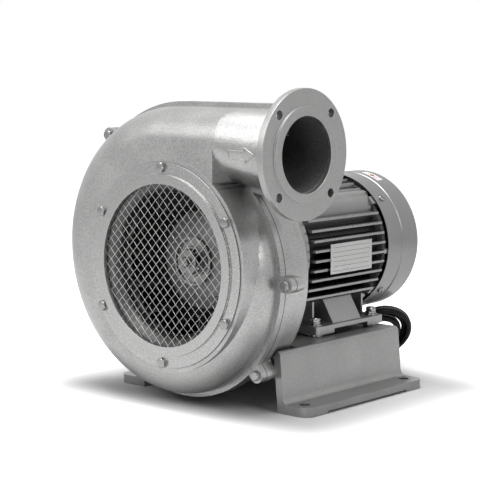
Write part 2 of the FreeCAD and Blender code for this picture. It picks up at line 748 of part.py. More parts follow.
def make_end_shields():
    bearing_y = frame_front_y - 20
    drive = turned([(shaft_radius + 3, rear_face_y), (shield_flange_radius, rear_face_y),
                    (shield_flange_radius, rear_face_y + shield_flange_thickness),
                    (shield_flange_radius - 14, rear_face_y + shield_flange_thickness + 6),
                    (shield_flange_radius - 8, frame_front_y - 16), (frame_radius - 2, frame_front_y - 8),
                    (frame_radius + 8, frame_front_y - 8),
                    (frame_radius + 8, frame_front_y), (frame_bore - 0.1, frame_front_y),
                    (frame_bore - 0.1, frame_front_y + 6), (frame_bore - shield_wall, frame_front_y + 6),
                    (frame_bore - shield_wall, frame_front_y - 6),
                    (drive_bearing_radius + shield_wall, bearing_y + drive_bearing_width),
                    (drive_bearing_radius + 0.02, bearing_y + drive_bearing_width),
                    (drive_bearing_radius + 0.02, bearing_y), (shaft_radius + 3, bearing_y)])
    rear_bearing_y = frame_rear_y - 6
    rear = turned([(frame_bore - 0.1, frame_rear_y - 6), (frame_bore - 0.1, frame_rear_y),
                   (frame_radius + 8, frame_rear_y), (frame_radius + 8, frame_rear_y + shield_rim),
                   (frame_radius - 2, frame_rear_y + shield_rim),
                   (rear_bearing_radius + shield_wall + 4, frame_rear_y + 9),
                   (rear_bearing_radius + shield_wall, rear_bearing_y + rear_bearing_width + 4),
                   (rear_shaft_radius + 2, rear_bearing_y + rear_bearing_width + 4),
                   (rear_shaft_radius + 2, rear_bearing_y + rear_bearing_width + 1.5),
                   (rear_bearing_radius + 0.02, rear_bearing_y + rear_bearing_width + 1.5),
                   (rear_bearing_radius + 0.02, rear_bearing_y),
                   (rear_bearing_radius + shield_wall, rear_bearing_y),
                   (rear_bearing_radius + shield_wall + 3, frame_rear_y + 1),
                   (frame_bore - shield_wall, frame_rear_y + 1),
                   (frame_bore - shield_wall, frame_rear_y - 6)])
    lugs = [cowl_lug(angle, cowl_lug_width, cowl_screw_set + 5) for angle in cowl_screw_angles()]
    lugs += [cowl_lug(angle, cowl_pad_width, shield_rim) for angle in cowl_pad_angles]
    rear = fused([rear] + lugs)
    for x, z in tie_places():
        rear = rear.cut(rod_y(tie_rod_radius + 0.3, frame_rear_y - 8, frame_rear_y + 7, x, z))
        drive = drive.cut(rod_y(tie_rod_radius + 0.3, frame_front_y - 14, frame_front_y + 1, x, z))
    for x, z in shield_screw_places():
        drive = drive.cut(rod_y(seam_screw_radius - 0.1, rear_face_y - 1,
                                rear_face_y + shield_screw_grip + shield_blind_depth, x, z))
    for angle in cowl_screw_angles():
        rear = rear.cut(cowl_screw_rod(cowl_screw_radius, angle, frame_radius + cowl_screw_root / 2,
                                       cowl_radius))
    parts["drive_endshield"] = drive
    parts["rear_endshield"] = rear
    parts["shield_screws"] = Part.Compound([
        screw_y(seam_screw_radius, seam_head_flats, shield_head_height, rear_face_y - wall,
                rear_face_y + shield_screw_grip, x, z)
        for x, z in shield_screw_places()])
    ties = []
    for x, z in tie_places():
        rod = rod_y(tie_rod_radius, frame_front_y - tie_head_set + tie_head_height - 1,
                    frame_rear_y + shield_rim + tie_head_height, x, z)
        nut = hexagon(tie_nut_flats, tie_head_height, (x, frame_rear_y + shield_rim, axis_height + z),
                      (0, 1, 0))
        head = hexagon(tie_nut_flats, tie_head_height, (x, frame_front_y - tie_head_set, axis_height + z),
                       (0, 1, 0))
        ties.append(fused([rod, nut, head]))
    parts["tie_bolts"] = Part.Compound(ties)
    bearings(bearing_y, rear_bearing_y)


def bearings(drive_y, rear_y):
    """Sealed ball bearings: the outer ring with its seals, and the inner ring on the shaft."""
    for name, shaft, outer, width, y in (("drive", shaft_radius, drive_bearing_radius, drive_bearing_width,
                                          drive_y),
                                         ("rear", rear_shaft_radius, rear_bearing_radius,
                                          rear_bearing_width, rear_y)):
        middle = shaft + 0.34 * (outer - shaft)
        parts[name + "_bearing_outer"] = ring_y(outer, middle + shaft_running_gap, y, y + width)
        parts[name + "_bearing_inner"] = ring_y(middle, shaft, y, y + width)
    parts["wave_spring"] = ring_y(rear_bearing_radius - 0.5, rear_bearing_radius - 4,
                                  rear_y + rear_bearing_width,
                                  rear_y + rear_bearing_width + 1.5)


def make_motor_inside():
    middle = (frame_front_y + frame_rear_y) / 2
    y0, y1 = middle - stator_length / 2, middle + stator_length / 2
    parts["stator_core"] = ring_y(frame_bore, stator_bore, y0, y1)
    ends = [turned([(stator_bore + 4, a), (frame_bore - 8, a), (frame_bore - 8, b), (stator_bore + 4, b)])
            for a, b in ((y0 - 18, y0), (y1, y1 + 18))]
    parts["stator_windings"] = Part.Compound(ends)
    rotor_radius = stator_bore - air_gap
    parts["rotor_core"] = ring_y(rotor_radius, shaft_radius + 2, y0 - 4, y1 + 4)
    drive_y = frame_front_y - 20
    rear_y = frame_rear_y - 6
    shaft_front = hub_face_y + hub_recess
    rear_end = frame_rear_y + 34
    shaft = turned([(0.0, shaft_front), (shaft_radius, shaft_front),
                    (shaft_radius, drive_y + drive_bearing_width),
                    (shaft_radius + 2, drive_y + drive_bearing_width), (shaft_radius + 2, rear_y),
                    (rear_shaft_radius, rear_y), (rear_shaft_radius, rear_end), (0.0, rear_end)])
    shaft = shaft.cut(rod_y(5.0, shaft_front - 1, hub_face_y + impeller_bolt_depth + 0.1))
    key_y0 = shaft_front + key_setback
    key_low = axis_height + shaft_radius - key_height / 2 - key_sunk
    key = box(-key_width / 2, key_width / 2, key_y0, key_y0 + key_length, key_low, key_low + key_height)
    shaft = shaft.cut(box(-key_width / 2, key_width / 2, key_y0, key_y0 + key_length, key_low,
                          axis_height + 2 * shaft_radius))
    parts["motor_shaft"] = shaft
    parts["shaft_key"] = key
    parts["shaft_seal"] = fused([ring_y(shaft_hole_radius, shaft_radius + 0.4, rear_face_y - wall,
                                        rear_face_y),
                                 ring_y(shaft_hole_radius + 6, shaft_radius + 0.4, rear_face_y - wall - 2,
                                        rear_face_y - wall)])


def cowl_lug(angle, width, reach):
    """A lug on the rear end shield's rim that the cowl slips over."""
    lug = box(frame_radius + 0.2, cowl_radius - cowl_sheet - cowl_step, frame_rear_y - fin_setback + 0.3,
              frame_rear_y + reach, -width / 2, width / 2)
    lug.rotate(Vector(0, 0, 0), Vector(0, 1, 0), -angle)
    lug.translate(Vector(0, 0, axis_height))
    return lug


def cowl_screw_angles():
    return (cowl_screw_angle, 180 - cowl_screw_angle, 180 + cowl_screw_angle, -cowl_screw_angle)


def cowl_screw_rod(radius, angle, inner, outer):
    rod = Part.makeCylinder(radius, outer - inner, Vector(inner, 0, 0), Vector(1, 0, 0))
    rod.rotate(Vector(0, 0, 0), Vector(0, 1, 0), -angle)
    rod.translate(Vector(0, frame_rear_y + cowl_screw_set, axis_height))
    return rod


def make_cowl():
    inner = cowl_radius - cowl_sheet
    slack = cowl_rounding * (1 - math.cos(math.radians(45)))
    inner_bend = cowl_rounding - cowl_sheet
    inner_slack = inner_bend * (1 - math.cos(math.radians(45)))
    front = cowl_radius - cowl_step
    cup = turned([(inner, cowl_front_y), (front, cowl_front_y), (front, cowl_step_y - 1),
                  (cowl_radius, cowl_step_y),
                  (cowl_radius, cowl_rear_y - cowl_rounding),
                  (cowl_radius - cowl_rounding, cowl_rear_y, cowl_radius - slack, cowl_rear_y - slack),
                  (12.0, cowl_rear_y), (12.0, cowl_rear_y - cowl_sheet),
                  (inner - inner_bend, cowl_rear_y - cowl_sheet),
                  (inner, cowl_rear_y - cowl_rounding, inner - inner_slack,
                   cowl_rear_y - cowl_sheet - inner_slack)])
    cup = fused([cup, rod_y(13.0, cowl_rear_y - cowl_sheet, cowl_rear_y)])
    slots = []
    for k, radius in enumerate((22.0, 34.0, 46.0, 58.0)):
        count = 6 + 2 * k
        gap = math.degrees(5.0 / radius)
        for n in range(count):
            span = 360.0 / count - gap
            slots.append(turned([(radius - 4, cowl_rear_y - 4), (radius + 4, cowl_rear_y - 4),
                                 (radius + 4, cowl_rear_y + 1), (radius - 4, cowl_rear_y + 1)],
                                (0.0, 0.0), n * 360.0 / count + gap / 2, span))
    for slot in slots:
        cup = cup.cut(slot)
    screws = []
    for angle in cowl_screw_angles():
        cup = cup.cut(cowl_screw_rod(cowl_screw_radius + 0.3, angle, inner - 1, cowl_radius + 1))
        screws.append(fused([cowl_screw_rod(cowl_screw_radius, angle, frame_radius + cowl_screw_root,
                                            front),
                             cowl_screw_rod(cowl_head_radius, angle, front, front + cowl_head_height)]))
    parts["fan_cowl"] = cup
    parts["cowl_screws"] = Part.Compound(screws)
    y0 = frame_rear_y + 17
    fan = [ring_y(16.0, rear_shaft_radius, y0 - 3, y0 + cooling_fan_width - 6),
           ring_y(cooling_fan_radius, 15.0, y0, y0 + 2.5)]
    for k in range(cooling_blade_count):
        blade = box(15.5, cooling_fan_radius - 2, y0 + 2, y0 + cooling_fan_width - 4, -1.2, 1.2)
        blade.rotate(Vector(0, 0, 0), Vector(0, 1, 0), k * 360.0 / cooling_blade_count)
        blade.translate(Vector(0, 0, axis_height))
        fan.append(blade)
    parts["cooling_fan"] = fused(fan)
    clip_y = y0 + cooling_fan_width - 6
    parts["fan_circlip"] = ring_y(rear_shaft_radius + 3, rear_shaft_radius, clip_y, clip_y + 1.2).cut(
        box(0, 20, clip_y - 1, clip_y + 2, axis_height - 3, axis_height + 3))


def make_foot():
    y0, y1 = foot_centre_y - foot_length / 2, foot_centre_y + foot_length / 2
    low = foot_top_z - foot_thickness
    plate = box(-foot_half_width, foot_half_width, y0, y1, low, foot_top_z)
    plate = plate.makeFillet(4.0, [e for e in plate.Edges if abs(e.tangentAt(e.FirstParameter).z) > 0.9])
    recess = box(-foot_half_width - 1, foot_half_width + 1, foot_centre_y - foot_recess_length / 2,
                 foot_centre_y + foot_recess_length / 2, low - 1, low + foot_recess)
    web_top = fin_band_low() - 1.5
    plate_top = foot_top_z - axis_height
    web = polygon_prism([(-foot_web_bottom, plate_top), (-foot_web_top, web_top - axis_height),
                         (foot_web_top, web_top - axis_height), (foot_web_bottom, plate_top)], "xz",
                        foot_centre_y - foot_web_length / 2, foot_centre_y + foot_web_length / 2)
    shapes = [plate.cut(recess), web]
    for y in (y0 + 14, y1 - 17):
        shapes.append(box(-foot_web_top - 2, foot_web_top + 2, y, y + 3, foot_top_z - 0.5, web_top - 1))
    foot = fused(shapes).cut(rod_y(frame_radius + 0.02, y0 - 1, y1 + 1))
    for x, z in tie_places()[2:]:
        foot = foot.cut(rod_y(tie_rod_radius + tie_boss_wall + 0.3, y0 - 1, y1 + 1, x, z))
    for x, y in foot_bolt_places():
        foot = foot.cut(rod_z(foot_hole_radius, low - 1, foot_top_z + 1, x, y))
    parts["motor_foot"] = foot


def fin_band_low():
    """The underside of the lowest side fin."""
    lowest = side_fin_shift - (side_fin_count - 1) / 2 * side_fin_pitch
    return axis_height + lowest - fin_thickness / 2


def foot_bolt_places():
    return [(sx * foot_bolt_x, foot_centre_y + sy * foot_bolt_spacing_y / 2) for sx in (-1,
                                                                                        1) for sy in (-1,
                                                                                                      1)]


def make_foot_fasteners():
    bolts, spacers, washers, springs, nuts = [], [], [], [], []
    under = base_height - base_wall
    spring_z = foot_top_z + foot_washer_thickness
    head_z = spring_z + foot_spring_thickness
    for x, y in foot_bolt_places():
        head = hexagon(foot_head_flats, foot_head_height, (x, y, head_z), (0, 0, 1))
        bolts.append(fused([head, rod_z(foot_bolt_radius, under - 10, head_z, x, y)]))
        shank = rod_z(foot_bolt_radius, under - 12, head_z + 1, x, y)
        spacers.append(rod_z(foot_washer_radius, base_height, base_height + foot_spacer_thickness, x,
                             y).cut(shank))
        washers.append(rod_z(foot_washer_radius, foot_top_z, spring_z, x, y).cut(shank))
        springs.append(rod_z(foot_head_flats / 2, spring_z, head_z, x, y).cut(shank))
        nuts.append(hexagon(foot_head_flats, 6.5, (x, y, under - 6.5), (0, 0, 1)).cut(shank))
    parts["foot_bolts"] = Part.Compound(bolts)
    parts["foot_spacers"] = Part.Compound(spacers)
    parts["foot_washers"] = Part.Compound(washers)
    parts["foot_spring_washers"] = Part.Compound(springs)
    parts["foot_nuts"] = Part.Compound(nuts)


def make_rating_plate():
    """A bare plate riveted over the side fins."""
    face = plate_seat_x + plate_thickness
    parts["rating_plate"] = box(plate_seat_x, face, *plate_y, *plate_z)
    rivets = []
    z = axis_height + side_fin_shift
    for y in (plate_y[0] + 4, plate_y[1] - 4):
        rivets.append(fused([rod_x(rivet_radius, face, face + 0.8, y, z),
                             rod_x(rivet_radius / 2, plate_seat_x - 4, face, y, z)]))
        parts["rating_plate"] = parts["rating_plate"].cut(rod_x(rivet_radius / 2, plate_seat_x - 1,
                                                                face + 1, y, z))
        parts["motor_frame"] = parts["motor_frame"].cut(rod_x(rivet_radius / 2, plate_seat_x - 4, face, y,
                                                              z))
    parts["rating_plate_rivets"] = Part.Compound(rivets)


def make_base():
    half = base_length / 2
    inner_top = base_top_half_width - base_wall
    inner_low = base_foot_half_width - base_wall
    outer = [(-base_half_width, 0), (-base_half_width, base_flange_thickness),
             (-base_foot_half_width, base_flange_thickness), (-base_top_half_width, base_height),
             (base_top_half_width, base_height), (base_foot_half_width, base_flange_thickness),
             (base_half_width, base_flange_thickness), (base_half_width, 0), (inner_low, 0),
             (inner_top, base_height - base_wall), (-inner_top, base_height - base_wall), (-inner_low, 0)]
    hat = polygon_prism([(x, z - axis_height) for x, z in outer], "xz", -half, half)
    bends = [e for e in hat.Edges if abs(e.tangentAt(e.FirstParameter).y) > 0.9
             and (e.CenterOfMass.z > base_height - 0.1
                  or abs(abs(e.CenterOfMass.x) - base_foot_half_width) < 0.1)]
    hat = hat.makeFillet(base_foot_bend, [e for e in bends if e.CenterOfMass.z < base_height / 2])
    tops = [e for e in hat.Edges
            if abs(e.tangentAt(e.FirstParameter).y) > 0.9 and e.CenterOfMass.z > base_height - 0.1]
    hat = hat.makeFillet(base_top_bend, tops)
    corners = [e for e in hat.Edges if abs(e.tangentAt(e.FirstParameter).z) > 0.9
               and abs(abs(e.CenterOfMass.x) - base_half_width) < 0.1]
    hat = hat.makeFillet(base_corner, corners)
    for side in (-1, 1):
        x0, x1 = sorted((side * (base_foot_half_width - base_wall - 2), side * (base_half_width + 1)))
        hat = hat.cut(box(x0, x1, -half + base_pad_length, half - base_pad_length, -1, base_relief))
    bosses = []
    for angle in base_lug_angles:
        x, z = outline_point(angle, lip_width + lug_outset)
        side = 1.0 if x > 0 else -1.0
        wall_x = base_foot_half_width - base_wall / 2
        bosses.append(rod_y(lug_barrel_radius, -half, -half + base_lug_length, x, z))
        x0, x1 = sorted((x, side * wall_x))
        bosses.append(box(x0, x1, -half, -half + base_lug_length, axis_height + z - 6, axis_height + z + 6))
    base = fused([hat] + bosses)
    grow = lip_width + base_clearance
    room = [turned([(0.0, -half - 1), (radius, -half - 1), (radius, rear_face_y + base_clearance),
                    (0.0, rear_face_y + base_clearance)], (x, z), start, end - start)
            for x, z, radius, start, end in scroll_arcs(grow - lip_width)]
    base = base.cut(fused(room))
    for angle in base_lug_angles:
        x, z = outline_point(angle, lip_width + lug_outset)
        base = base.cut(rod_y(seam_screw_radius, -half - 1, -half + base_lug_grip + seam_screw_end, x, z))
    for x in (-1, 1):
        for y in (-1, 1):
            base = base.cut(rod_z(base_hole_radius, -1, base_flange_thickness + 1,
                                  x * base_hole_spacing_x / 2,
                                  y * base_hole_spacing_y / 2))
    for x, y in foot_bolt_places():
        base = base.cut(rod_z(foot_bolt_radius + 0.5, base_height - base_wall - 1, base_height + 1, x, y))
    parts["base_bracket"] = base


def make_terminal_box():
    y0, y1, z0, z1 = box_span()
    near = -frame_radius - 4
    far = near - box_depth
    shell = box(far, near, y0, y1, z0, z1)
    shell = shell.makeFillet(box_corner,
                             [e for e in shell.Edges if abs(e.tangentAt(e.FirstParameter).x) > 0.9])
    shell = shell.cut(box(far - 1, near - box_wall, y0 + box_wall, y1 - box_wall, z0 + box_wall,
                          z1 - box_wall))
    posts = [(y, z) for y in (y0 + lid_post_inset, y1 - lid_post_inset)
             for z in (z0 + lid_post_inset, z1 - lid_post_inset)]
    posts_made = [rod_x(lid_post_radius, far, near - 1, y, z) for y, z in posts]
    shell = fused([shell] + posts_made)
    gland_x = cable_route[0][0]
    gland_z = cable_route[0][2]
    shell = shell.cut(Part.makeCylinder(gland_radius - 2, 20, Vector(gland_x, y1 - 12, gland_z),
                                        Vector(0, 1, 0)))
    gasket_outer = box(far - gasket_thickness, far, y0, y1, z0, z1)
    gasket = gasket_outer.cut(box(far - 3, far + 1, y0 + box_wall, y1 - box_wall, z0 + box_wall,
                                  z1 - box_wall))
    lid_face = far - gasket_thickness
    lid = box(lid_face - lid_thickness, lid_face, y0, y1, z0, z1)
    lid = lid.makeFillet(box_corner, [e for e in lid.Edges if abs(e.tangentAt(e.FirstParameter).x) > 0.9])
    lid = lid.makeFillet(2.0, [e for e in lid.Edges if e.CenterOfMass.x < lid_face - lid_thickness + 0.1])
    screws = []
    for y, z in posts:
        shell = shell.cut(rod_x(lid_screw_radius, far - 1, far + lid_screw_grip + lid_blind_depth, y, z))
        lid = lid.cut(rod_x(lid_screw_radius + 0.2, lid_face - lid_thickness - 1, lid_face + 1, y, z))
        gasket = gasket.cut(rod_x(lid_screw_radius + 0.2, lid_face - 1, far + 1, y, z))
        screws.append(fused([rod_x(lid_head_radius, lid_face - lid_thickness - lid_head_height,
                                   lid_face - lid_thickness, y, z),
                             rod_x(lid_screw_radius - 0.1, lid_face - lid_thickness, far + lid_screw_grip,
                                   y, z)]))
    parts["terminal_box"] = shell
    parts["terminal_box_gasket"] = gasket
    parts["terminal_box_lid"] = lid
    parts["lid_screws"] = Part.Compound(screws)
    block_face = near - box_wall - block_depth
    block_z = axis_height - block_drop
    block = box(block_face, near - box_wall, foot_centre_y - block_length / 2,
                foot_centre_y + block_length / 2,
                block_z - block_height / 2, block_z + block_height / 2)
    studs = [rod_x(stud_radius, block_face - stud_length, block_face + stud_sunk,
                   foot_centre_y + k * stud_pitch,
                   block_z) for k in (-1, 0, 1)]
    parts["terminal_block"] = fused([block] + studs)
    body = Part.makeCylinder(gland_radius - 2, 10, Vector(gland_x, y1 - box_wall - 6, gland_z),
                             Vector(0, 1, 0))
    flange = hexagon(2 * gland_radius, 6.0, (gland_x, y1, gland_z), (0, 1, 0))
    throat = Part.makeCylinder(gland_radius - 2, gland_length - 6, Vector(gland_x, y1 + 6, gland_z),
                               Vector(0, 1, 0))
    bore = Part.makeCylinder(cable_radius + 0.2, 60, Vector(gland_x, y1 - 20, gland_z), Vector(0, 1, 0))
    parts["cable_gland"] = fused([body, flange, throat]).cut(bore)
    nut_y = y1 + gland_length
    nut = Part.makeCone(gland_radius, cable_radius + 2.5, gland_nut_length, Vector(gland_x, nut_y, gland_z),
                        Vector(0, 1, 0))
    parts["gland_nut"] = nut.cut(bore)


def route_start_y():
    return box_span()[1] + gland_length + gland_nut_length


def swept_cord(points):
    """A round cord along straight stretches joined by arcs."""
    edges = []
    last = points[0]
    radii = []
    for before, corner, after in zip(points, points[1:], points[2:]):
        into = (corner - before)
        out = (after - corner)
        shorter = min(into.Length, out.Length)
        turn = into.getAngle(out)
        tangent = 0.45 * shorter
        radius = tangent / math.tan(turn / 2)
        radii.append(round(radius, 1))
        one = corner - into.normalize() * tangent
        two = corner + out.normalize() * tangent
        bisector = (two - corner) + (one - corner)
        bisector.normalize()
        middle = corner + bisector * (radius / math.cos(turn / 2) - radius)
        edges.append(Part.LineSegment(last, one).toShape())
        edges.append(Part.Arc(one, middle, two).toShape())
        last = two
    edges.append(Part.LineSegment(last, points[-1]).toShape())
    print("cord bend radii", radii)
    path = Part.Wire(edges)
    section = Part.Wire(Part.makeCircle(cable_radius, points[0], points[1] - points[0]))
    tube = path.makePipeShell([section], True, False)
    print("cord length", round(path.Length, 1), "volume ratio",
          round(tube.Volume / (path.Length * math.pi * cable_radius ** 2), 4))
    return tube


def lean_coil(shape):
    """Leans a flat coil up from the floor, its high side towards the base."""
    shape.rotate(Vector(0, 0, 0), Vector(0, 1, 0), coil_tilt)
    shape.rotate(Vector(0, 0, 0), Vector(0, 0, 1), coil_bearing)
    rise = coil_radius * math.sin(math.radians(coil_tilt)) + coil_bundle_radius
    shape.translate(Vector(coil_x, coil_y, rise))
    return shape


def make_cable():
    start = route_start_y()
    parts["cable_lead"] = swept_cord([Vector(x, start + y, z) for x, y, z in cable_route])
    parts["plug_lead"] = swept_cord([Vector(*plug_place) + Vector(*step) for step in plug_route])
    parts["cable_coil"] = lean_coil(Part.makeTorus(coil_radius, coil_bundle_radius))
    tie_bore = coil_bundle_radius + tie_clearance
    tie = Part.makeCylinder(tie_bore + tie_thickness, tie_width).cut(Part.makeCylinder(tie_bore, tie_width))
    tie.translate(Vector(0, 0, -tie_width / 2))
    tie.rotate(Vector(0, 0, 0), Vector(1, 0, 0), 90)
    tie.translate(Vector(coil_radius, 0, 0))
    tie.rotate(Vector(0, 0, 0), Vector(0, 0, 1), tie_place_angle)
    parts["cable_tie"] = lean_coil(tie)


def make_plug():
    """A round two-pin plug that lies on the floor beside the coil, its pins towards -X."""
    x, y, z = plug_place
    profile = [(0.0, 0.0), (plug_radius, 0.0), (plug_radius, 8.0), (plug_radius - 6, 22.0),
               (cable_radius + 3.0, plug_length), (0.0, plug_length)]
    points = [Vector(x + along, y, z + radius) for radius, along in profile]
    outline = Part.Face(Part.makePolygon(points + points[:1]))
    parts["plug_body"] = outline.revolve(Vector(x, y, z), Vector(1, 0, 0), 360)
    parts["plug_pins"] = Part.Compound([rod_x(pin_radius, x - pin_length, x, y + side * pin_spacing / 2, z)
                                        for side in (-1, 1)])


make_shells()
make_seam_screws()
make_inlet()
make_outlet_flange()
make_impeller()
make_motor_frame()
make_end_shields()
make_motor_inside()
make_cowl()
make_foot()
make_foot_fasteners()
make_base()
make_terminal_box()
make_rating_plate()
make_cable()
make_plug()

os.makedirs("parts", exist_ok=True)
for name, shape in parts.items():
    shape.exportStep("parts/" + name + ".step")
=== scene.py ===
import math

import bmesh
import bpy
from mathutils import Matrix, Vector


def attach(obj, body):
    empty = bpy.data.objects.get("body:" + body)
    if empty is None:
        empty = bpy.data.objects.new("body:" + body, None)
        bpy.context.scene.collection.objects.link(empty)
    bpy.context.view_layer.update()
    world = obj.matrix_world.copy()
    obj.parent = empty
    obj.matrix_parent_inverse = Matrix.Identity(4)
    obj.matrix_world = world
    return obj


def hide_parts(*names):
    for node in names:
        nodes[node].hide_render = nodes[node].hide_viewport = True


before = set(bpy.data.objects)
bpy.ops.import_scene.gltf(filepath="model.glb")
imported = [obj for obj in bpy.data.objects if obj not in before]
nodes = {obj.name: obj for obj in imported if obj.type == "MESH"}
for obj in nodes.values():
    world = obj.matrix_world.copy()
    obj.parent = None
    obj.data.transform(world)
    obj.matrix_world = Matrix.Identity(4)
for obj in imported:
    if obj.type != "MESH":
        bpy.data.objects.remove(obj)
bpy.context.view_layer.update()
bpy.ops.object.select_all(action="DESELECT")

# Camera. A long lens looks at the inlet side from the outlet's corner, a little above
# the shaft's height.
camera_data = bpy.data.cameras.new("product_camera")
camera_data.lens = 117.0
camera_data.sensor_width = 36.0
camera_data.clip_end = 20.0
camera = bpy.data.objects.new("product_camera", camera_data)
camera.location = (1.12308, -1.3169, 0.37062)
camera.rotation_euler = (math.radians(83.2), 0.0, math.radians(41.6))
bpy.context.scene.collection.objects.link(camera)
bpy.context.scene.camera = camera
bpy.context.scene.view_settings.view_transform = "Standard"

# Studio. A white floor that keeps the contact shadow, a white surround with one dark card on
# the right that only reflections show, and four soft lamps: key and low in front, right, top.
floor_albedo = 0.56
floor_lift = 1.0
footprint = (0.15, 0.12, 0.0)
shadow_near = 0.0
shadow_far = 0.11
surround_light = 0.07
mirror_floor = 0.62
mirror_room = 0.95
card_shade = 0.10
card_bearing = math.radians(62.0)
card_rise = 0.1
card_core = math.radians(9.0)
card_edge = math.radians(26.0)


def soft_lamp(name, place, target, width, height, power):
    """A rectangular soft lamp that shines at a point."""
    lamp = bpy.data.lights.new(name, "AREA")
    lamp.shape = "RECTANGLE"
    lamp.size = width
    lamp.size_y = height
    lamp.energy = power
    obj = bpy.data.objects.new(name, lamp)
    obj.location = place
    obj.rotation_euler = (Vector(target) - obj.location).to_track_quat("-Z", "Y").to_euler()
    bpy.context.scene.collection.objects.link(obj)


def feed(tree, node, inputs):
    """Gives each of these inputs a value, or a link when it comes from another node's socket."""
    for key, value in inputs.items():
        if isinstance(value, bpy.types.NodeSocket):
            tree.links.new(value, node.inputs[key])
        else:
            node.inputs[key].default_value = value


def add(tree, kind, inputs=None, **settings):
    """A new shader node with these settings and inputs."""
    node = tree.nodes.new("ShaderNode" + kind)
    for name, value in settings.items():
        setattr(node, name, value)
    feed(tree, node, inputs or {})
    return node


def past_box(tree, middle, half):
    """How far a place in the object's own coordinates lies outside a box."""
    place = add(tree, "TexCoord").outputs["Object"]
    offset = add(tree, "VectorMath", {0: place, 1: middle}, operation="SUBTRACT")
    size = add(tree, "VectorMath", {0: offset.outputs[0]}, operation="ABSOLUTE")
    past = add(tree, "VectorMath", {0: size.outputs[0], 1: half}, operation="SUBTRACT")
    beyond = add(tree, "VectorMath", {0: past.outputs[0], 1: (0.0, 0.0, 0.0)}, operation="MAXIMUM")
    return add(tree, "VectorMath", {0: beyond.outputs[0]}, operation="LENGTH").outputs["Value"]


bpy.ops.mesh.primitive_plane_add(size=16.0, location=(0.0, 0.0, 0.0))
floor = bpy.context.object
floor.name = "studio_floor"
floor_material = bpy.data.materials.new("studio_floor")
floor_material.use_nodes = True
tree = floor_material.node_tree
tree.nodes.clear()
diffuse = add(tree, "BsdfDiffuse", {"Color": (floor_albedo, floor_albedo, floor_albedo, 1.0)})
rays = add(tree, "LightPath").outputs
fade = add(tree, "MapRange", {"Value": past_box(tree, (0.0, 0.0, 0.0), footprint), "From Min": shadow_near,
                              "From Max": shadow_far, "To Min": 0.0, "To Max": floor_lift},
           interpolation_type="SMOOTHSTEP")
seen = add(tree, "Math", {0: rays["Is Glossy Ray"], 1: rays["Is Transmission Ray"]}, operation="MAXIMUM")
mirror = add(tree, "Math", {0: seen.outputs[0], 1: mirror_floor}, operation="MULTIPLY")
shown = add(tree, "Math", {0: rays["Is Camera Ray"], 1: mirror.outputs[0]}, operation="MAXIMUM")
gain = add(tree, "Math", {0: shown.outputs[0], 1: fade.outputs["Result"]}, operation="MULTIPLY")
glow = add(tree, "Emission", {"Strength": gain.outputs[0]})
both = add(tree, "AddShader", {0: diffuse.outputs[0], 1: glow.outputs[0]})
add(tree, "OutputMaterial", {"Surface": both.outputs[0]})
floor.data.materials.append(floor_material)
floor.select_set(False)

world = bpy.data.worlds.new("studio")
bpy.context.scene.world = world
world.use_nodes = True
tree = world.node_tree
tree.nodes.clear()
white = (1.0, 1.0, 1.0, 1.0)
card_way = (math.sin(card_bearing), -math.cos(card_bearing), card_rise)
rays = add(tree, "LightPath").outputs
facing = add(tree, "VectorMath", {0: add(tree, "TexCoord").outputs["Generated"], 1: card_way},
             operation="DOT_PRODUCT")
dark = add(tree, "MapRange", {"Value": facing.outputs["Value"], "From Min": math.cos(card_edge),
                              "From Max": math.cos(card_core), "To Min": mirror_room, "To Max": card_shade},
           interpolation_type="SMOOTHSTEP")
level = add(tree, "Math", {0: dark.outputs["Result"], 1: rays["Is Camera Ray"]}, operation="MAXIMUM")
seen = add(tree, "Background", {"Color": white, "Strength": level.outputs[0]})
light = add(tree, "Background", {"Color": white, "Strength": surround_light})
direct = add(tree, "Math", {0: rays["Is Camera Ray"], 1: rays["Is Glossy Ray"]}, operation="MAXIMUM")
shown = add(tree, "Math", {0: direct.outputs[0], 1: rays["Is Transmission Ray"]}, operation="MAXIMUM")
mix = add(tree, "MixShader", {"Fac": shown.outputs[0], 1: light.outputs[0], 2: seen.outputs[0]})
add(tree, "OutputWorld", {"Surface": mix.outputs[0]})

soft_lamp("key_lamp", (-0.5, -1.35, 1.25), (0.0, -0.05, 0.15), 1.3, 1.1, 12.0)
soft_lamp("right_lamp", (1.6, -0.2, 1.0), (0.05, 0.0, 0.15), 0.9, 0.9, 9.0)
soft_lamp("low_lamp", (0.75, -1.6, 0.12), (0.05, -0.1, 0.12), 0.35, 0.7, 4.0)
soft_lamp("top_lamp", (0.0, -0.2, 1.9), (0.0, 0.0, 0.1), 1.5, 1.3, 44.0)


# Front volute shell. A sand-cast aluminium half of the scroll, blasted all over, with a
# flat face, a low boss under the inlet ring and a screwed lip at the seam.
shaft_height = 0.153
seam_y = -0.12
seam_line = 0.0002
seam_soft = 0.0008
duct_height = 0.2715
duct_start = 0.068
duct_inside = 0.0425
scroll_inside = (-0.1675, -0.0775)
inward_least = 0.004
cast_dark = (0.26, 0.26, 0.258)
cast_light = (0.48, 0.48, 0.476)
cast_edge = 0.0008


def effect_group(name, numbers, values):
    """A node group with these number inputs, these value outputs and a normal, and its inputs inside."""
    group = bpy.data.node_groups.new(name, "ShaderNodeTree")
    for label, value in numbers.items():
        socket = group.interface.new_socket(label, in_out="INPUT", socket_type="NodeSocketFloat")
        socket.default_value = value
    for label in values:
        group.interface.new_socket(label, in_out="OUTPUT", socket_type="NodeSocketFloat")
    group.interface.new_socket("Normal", in_out="OUTPUT", socket_type="NodeSocketVector")
    return group, group.nodes.new("NodeGroupInput").outputs


